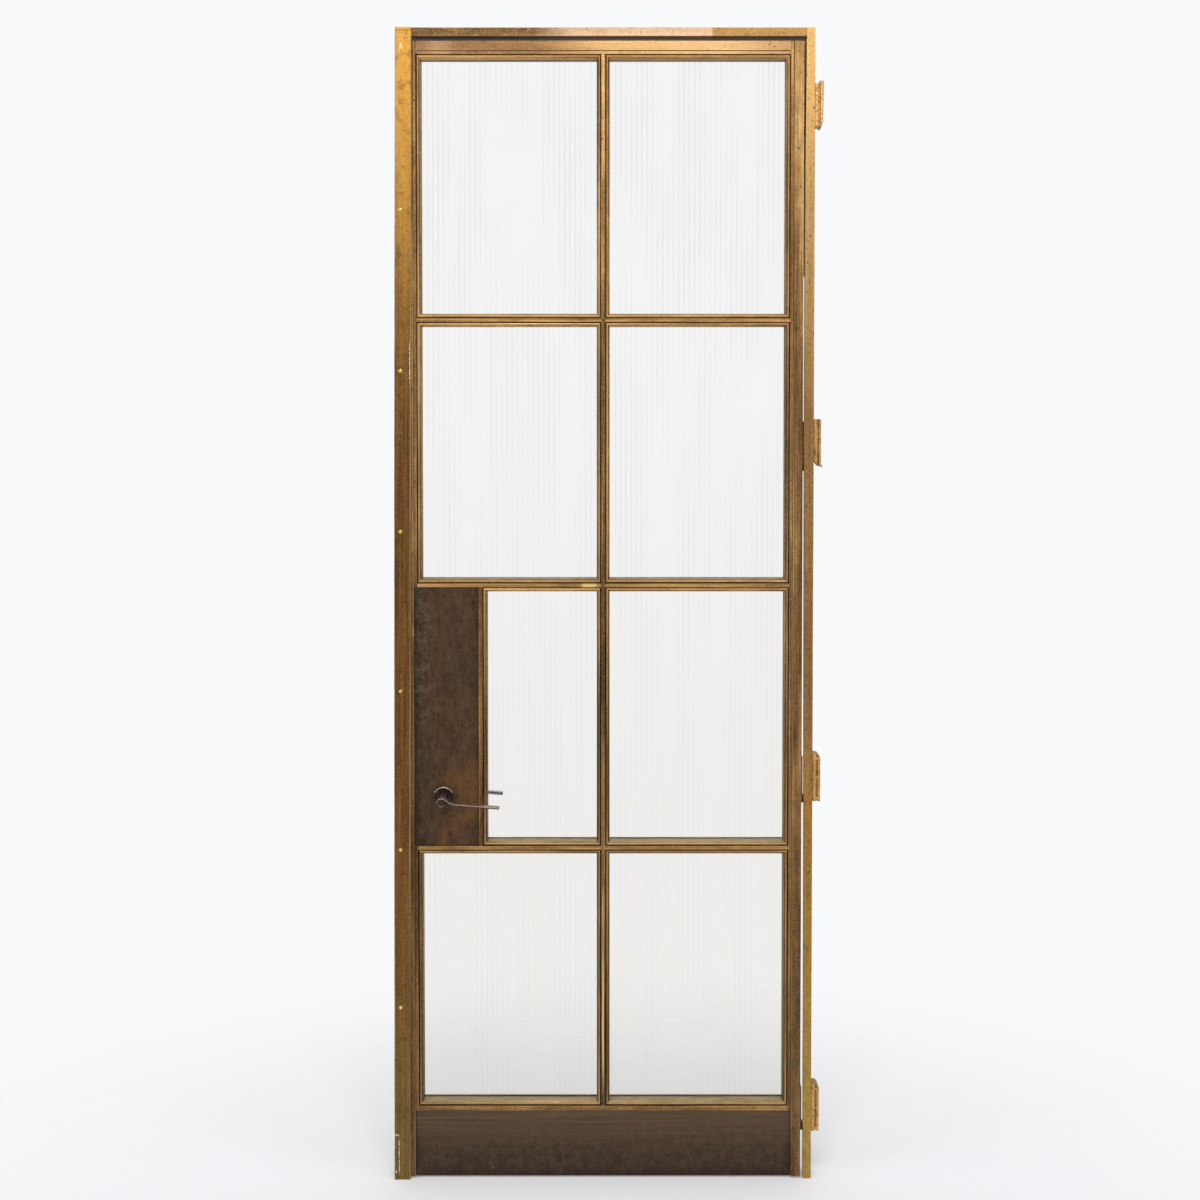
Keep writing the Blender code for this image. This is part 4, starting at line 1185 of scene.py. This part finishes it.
def mark_upper_faces(bm, height):
    """Marks faces that look up, which get rub and a painted highlight, and keeps the wear and painted
    highlight of edges to those that look up above a height.
    """
    upper = bm.faces.layers.float.new("upper_face")
    wear = bm.faces.layers.float.get("edge_wear")
    for face in bm.faces:
        if face.normal.z > 0.6:
            face[upper] = 1.0
        if face.normal.z < 0.15 or face.calc_center_median().z < height:
            face[wear] *= 0.1


class DOOR_OT_levers(bpy.types.Operator):
    """Finish the lever handles, their roses and the spindle"""

    bl_idname = "door.levers"
    bl_label = "Lever handles"

    def execute(self, context):
        settings = context.scene.door_levers
        handle = lever_finish("dark_handle_bronze_rubbed_and_lit", settings)
        # Painted shade: the rear lever, the spindle and the rear rose take a darker copy with little of
        # the lighter faces and edges
        shaded = lever_finish("dark_handle_bronze_shaded", settings, rub_and_highlight=0.12)
        low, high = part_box("rose_front")
        axis = (low.z + high.z) / 2
        for node, body, material in (
            ("lever_front", "lever", handle), ("lever_rear", "lever", shaded),
            ("spindle", "lever", shaded), ("rose_front", "leaf", handle), ("rose_rear", "leaf", shaded),
        ):
            bm = merged_copy(node)
            rose = node.startswith("rose")
            soften(bm, settings.edge_radius * (ROSE_EDGE_SHARE if rose else 1.0), 40.0)
            mark_upper_faces(bm, axis + (ROSE_WORN_AND_LIT_ABOVE if rose else LEVER_WORN_AND_LIT_ABOVE))
            piece = finished(f"{node}_finished", bm, material)
            piece.data.shade_smooth()
            piece.data.set_sharp_from_angle(angle=math.radians(32.0))
            settle(piece, body, "dark_handle_bronze", node)
        return {"FINISHED"}


class DOOR_OT_hinges(bpy.types.Operator):
    """Finish the lift-off hinges behind the hinge edge"""

    bl_idname = "door.hinges"
    bl_label = "Hinges"

    def execute(self, context):
        settings = context.scene.door_levers
        material = lever_finish("dark_hinge_bronze", settings)
        for number in range(1, 5):
            for half, body in (("jamb", "frame"), ("leaf", "leaf")):
                node = f"hinge_{half}_half_{number}"
                softened_piece(node, body, "patinated_bronze", material, settings.edge_radius)
        return {"FINISHED"}


# Stage


def floor_finish():
    """Pale and even, fading out into the room well away from the door."""
    finish = Finish(
        "pale_floor", {"Roughness": 0.6, "Emission Color": (1.0, 1.0, 1.0), "Emission Strength": 0.16}
    )
    cloud = finish.grain(0.8, detail=4.0)
    finish.skin = finish.blend(cloud, (0.80, 0.805, 0.81), (0.85, 0.85, 0.85))
    away = finish.add("ShaderNodeVectorMath", {0: finish.place, 1: FLOOR_MIDDLE}, operation="DISTANCE")
    fade = finish.band(away.outputs["Value"], 1.0, 2.4)
    clear = finish.add("ShaderNodeBsdfTransparent")
    mix = finish.add("ShaderNodeMixShader", {0: fade, 1: finish.shader, 2: clear})
    finish.feed(finish.nodes["Material Output"].inputs["Surface"], mix)
    return finish.done()


def area_light(name, place, aim, size, power):
    """A soft light that is seen neither by the camera nor through the glass."""
    data = bpy.data.lights.new(name, "AREA")
    data.shape = "RECTANGLE"
    data.size, data.size_y = size
    data.energy = power
    lamp = linked(name, data)
    lamp.location = place
    lamp.rotation_euler = (Vector(aim) - Vector(place)).to_track_quat("-Z", "Y").to_euler()
    lamp.visible_camera = False
    lamp.visible_transmission = False


def pale_room(strength):
    """A pale room that is brighter where it is looked at than where it lights the door."""
    world = bpy.data.worlds.new("pale_room")
    world.use_nodes = True
    room = Builder(world.node_tree)
    seen = room.nodes["Background"]
    room.feed(seen.inputs["Color"], (0.94, 0.95, 0.965))
    room.feed(seen.inputs["Strength"], 1.0)
    lights = room.add("ShaderNodeBackground", {"Color": (0.93, 0.96, 1.0), "Strength": strength})
    ray = room.add("ShaderNodeLightPath").outputs
    looked_at = room.combine("MAXIMUM", ray["Is Camera Ray"], ray["Is Transmission Ray"])
    mix = room.add("ShaderNodeMixShader", {0: looked_at, 1: lights, 2: seen})
    room.feed(room.nodes["World Output"].inputs["Surface"], mix)
    return world


class DOOR_OT_stage(bpy.types.Operator):
    """Set the floor, the soft lights, the pale room and the camera"""

    bl_idname = "door.stage"
    bl_label = "Stage"

    def execute(self, context):
        settings = context.scene.door_stage
        scene = context.scene
        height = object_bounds()[0].z - FLOOR_GAP
        place = Matrix.Translation((*FLOOR_PLACE, height)) @ Matrix.Diagonal((*FLOOR_REACH, 1.0, 1.0))
        bm = bmesh.new()
        bmesh.ops.create_grid(bm, x_segments=1, y_segments=1, size=1.0, matrix=place)
        finished("floor", bm, floor_finish())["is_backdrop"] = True
        area_light("key", (0.5, -2.6, 2.9), (0.5, 0.0, 0.0), (1.6, 0.8), settings.key_power)
        area_light("left_fill", (-3.0, -2.2, 0.6), (0.4, 0.0, 0.0), (1.2, 2.4), settings.fill_power)
        area_light("right_fill", (4.0, -2.2, 0.6), (0.6, 0.0, 0.0), (1.2, 2.4), settings.fill_power)
        scene.world = pale_room(settings.room_light)
        scene.view_settings.view_transform = "Standard"
        data = bpy.data.cameras.new("camera")
        data.lens = settings.camera_lens
        data.sensor_width = 36.0
        data.shift_y = settings.camera_shift
        camera = linked("camera", data)
        camera.location = settings.camera_place
        camera.rotation_euler = (settings.camera_pitch, 0.0, 0.0)
        scene.camera = camera
        return {"FINISHED"}


OPERATORS = (
    DOOR_OT_stage,
    DOOR_OT_sections,
    DOOR_OT_beads,
    DOOR_OT_glass,
    DOOR_OT_plates,
    DOOR_OT_strip,
    DOOR_OT_screws,
    DOOR_OT_lugs,
    DOOR_OT_levers,
    DOOR_OT_hinges,
)
SETTINGS = {
    "door_sections": SectionSettings,
    "door_glass": GlassSettings,
    "door_plates": PlateSettings,
    "door_strip": StripSettings,
    "door_screws": ScrewSettings,
    "door_lugs": LugSettings,
    "door_levers": LeverSettings,
    "door_stage": StageSettings,
}


class DOOR_PT_finishes(bpy.types.Panel):
    """The door's pieces, each with a button that makes it"""

    bl_idname = "DOOR_PT_finishes"
    bl_label = "Bronze Glazed Door"
    bl_space_type = "VIEW_3D"
    bl_region_type = "UI"
    bl_category = "Door"

    def draw(self, context):
        column = self.layout.column()
        for operator in OPERATORS:
            column.operator(operator.bl_idname)


def register():
    for group in SETTINGS.values():
        bpy.utils.register_class(group)
    for name, group in SETTINGS.items():
        setattr(bpy.types.Scene, name, PointerProperty(type=group))
    for operator in OPERATORS:
        bpy.utils.register_class(operator)
    bpy.utils.register_class(DOOR_PT_finishes)


def unregister():
    bpy.utils.unregister_class(DOOR_PT_finishes)
    for operator in reversed(OPERATORS):
        bpy.utils.unregister_class(operator)
    for name in SETTINGS:
        delattr(bpy.types.Scene, name)
    for group in reversed(SETTINGS.values()):
        bpy.utils.unregister_class(group)


def main():
    register()
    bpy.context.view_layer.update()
    bpy.ops.door.stage()
    bpy.ops.door.sections()
    bpy.ops.door.beads()
    bpy.ops.door.glass()
    bpy.ops.door.plates()
    bpy.ops.door.strip()
    bpy.ops.door.screws()
    bpy.ops.door.lugs()
    bpy.ops.door.levers()
    bpy.ops.door.hinges()


if __name__ == "__main__":
    main()
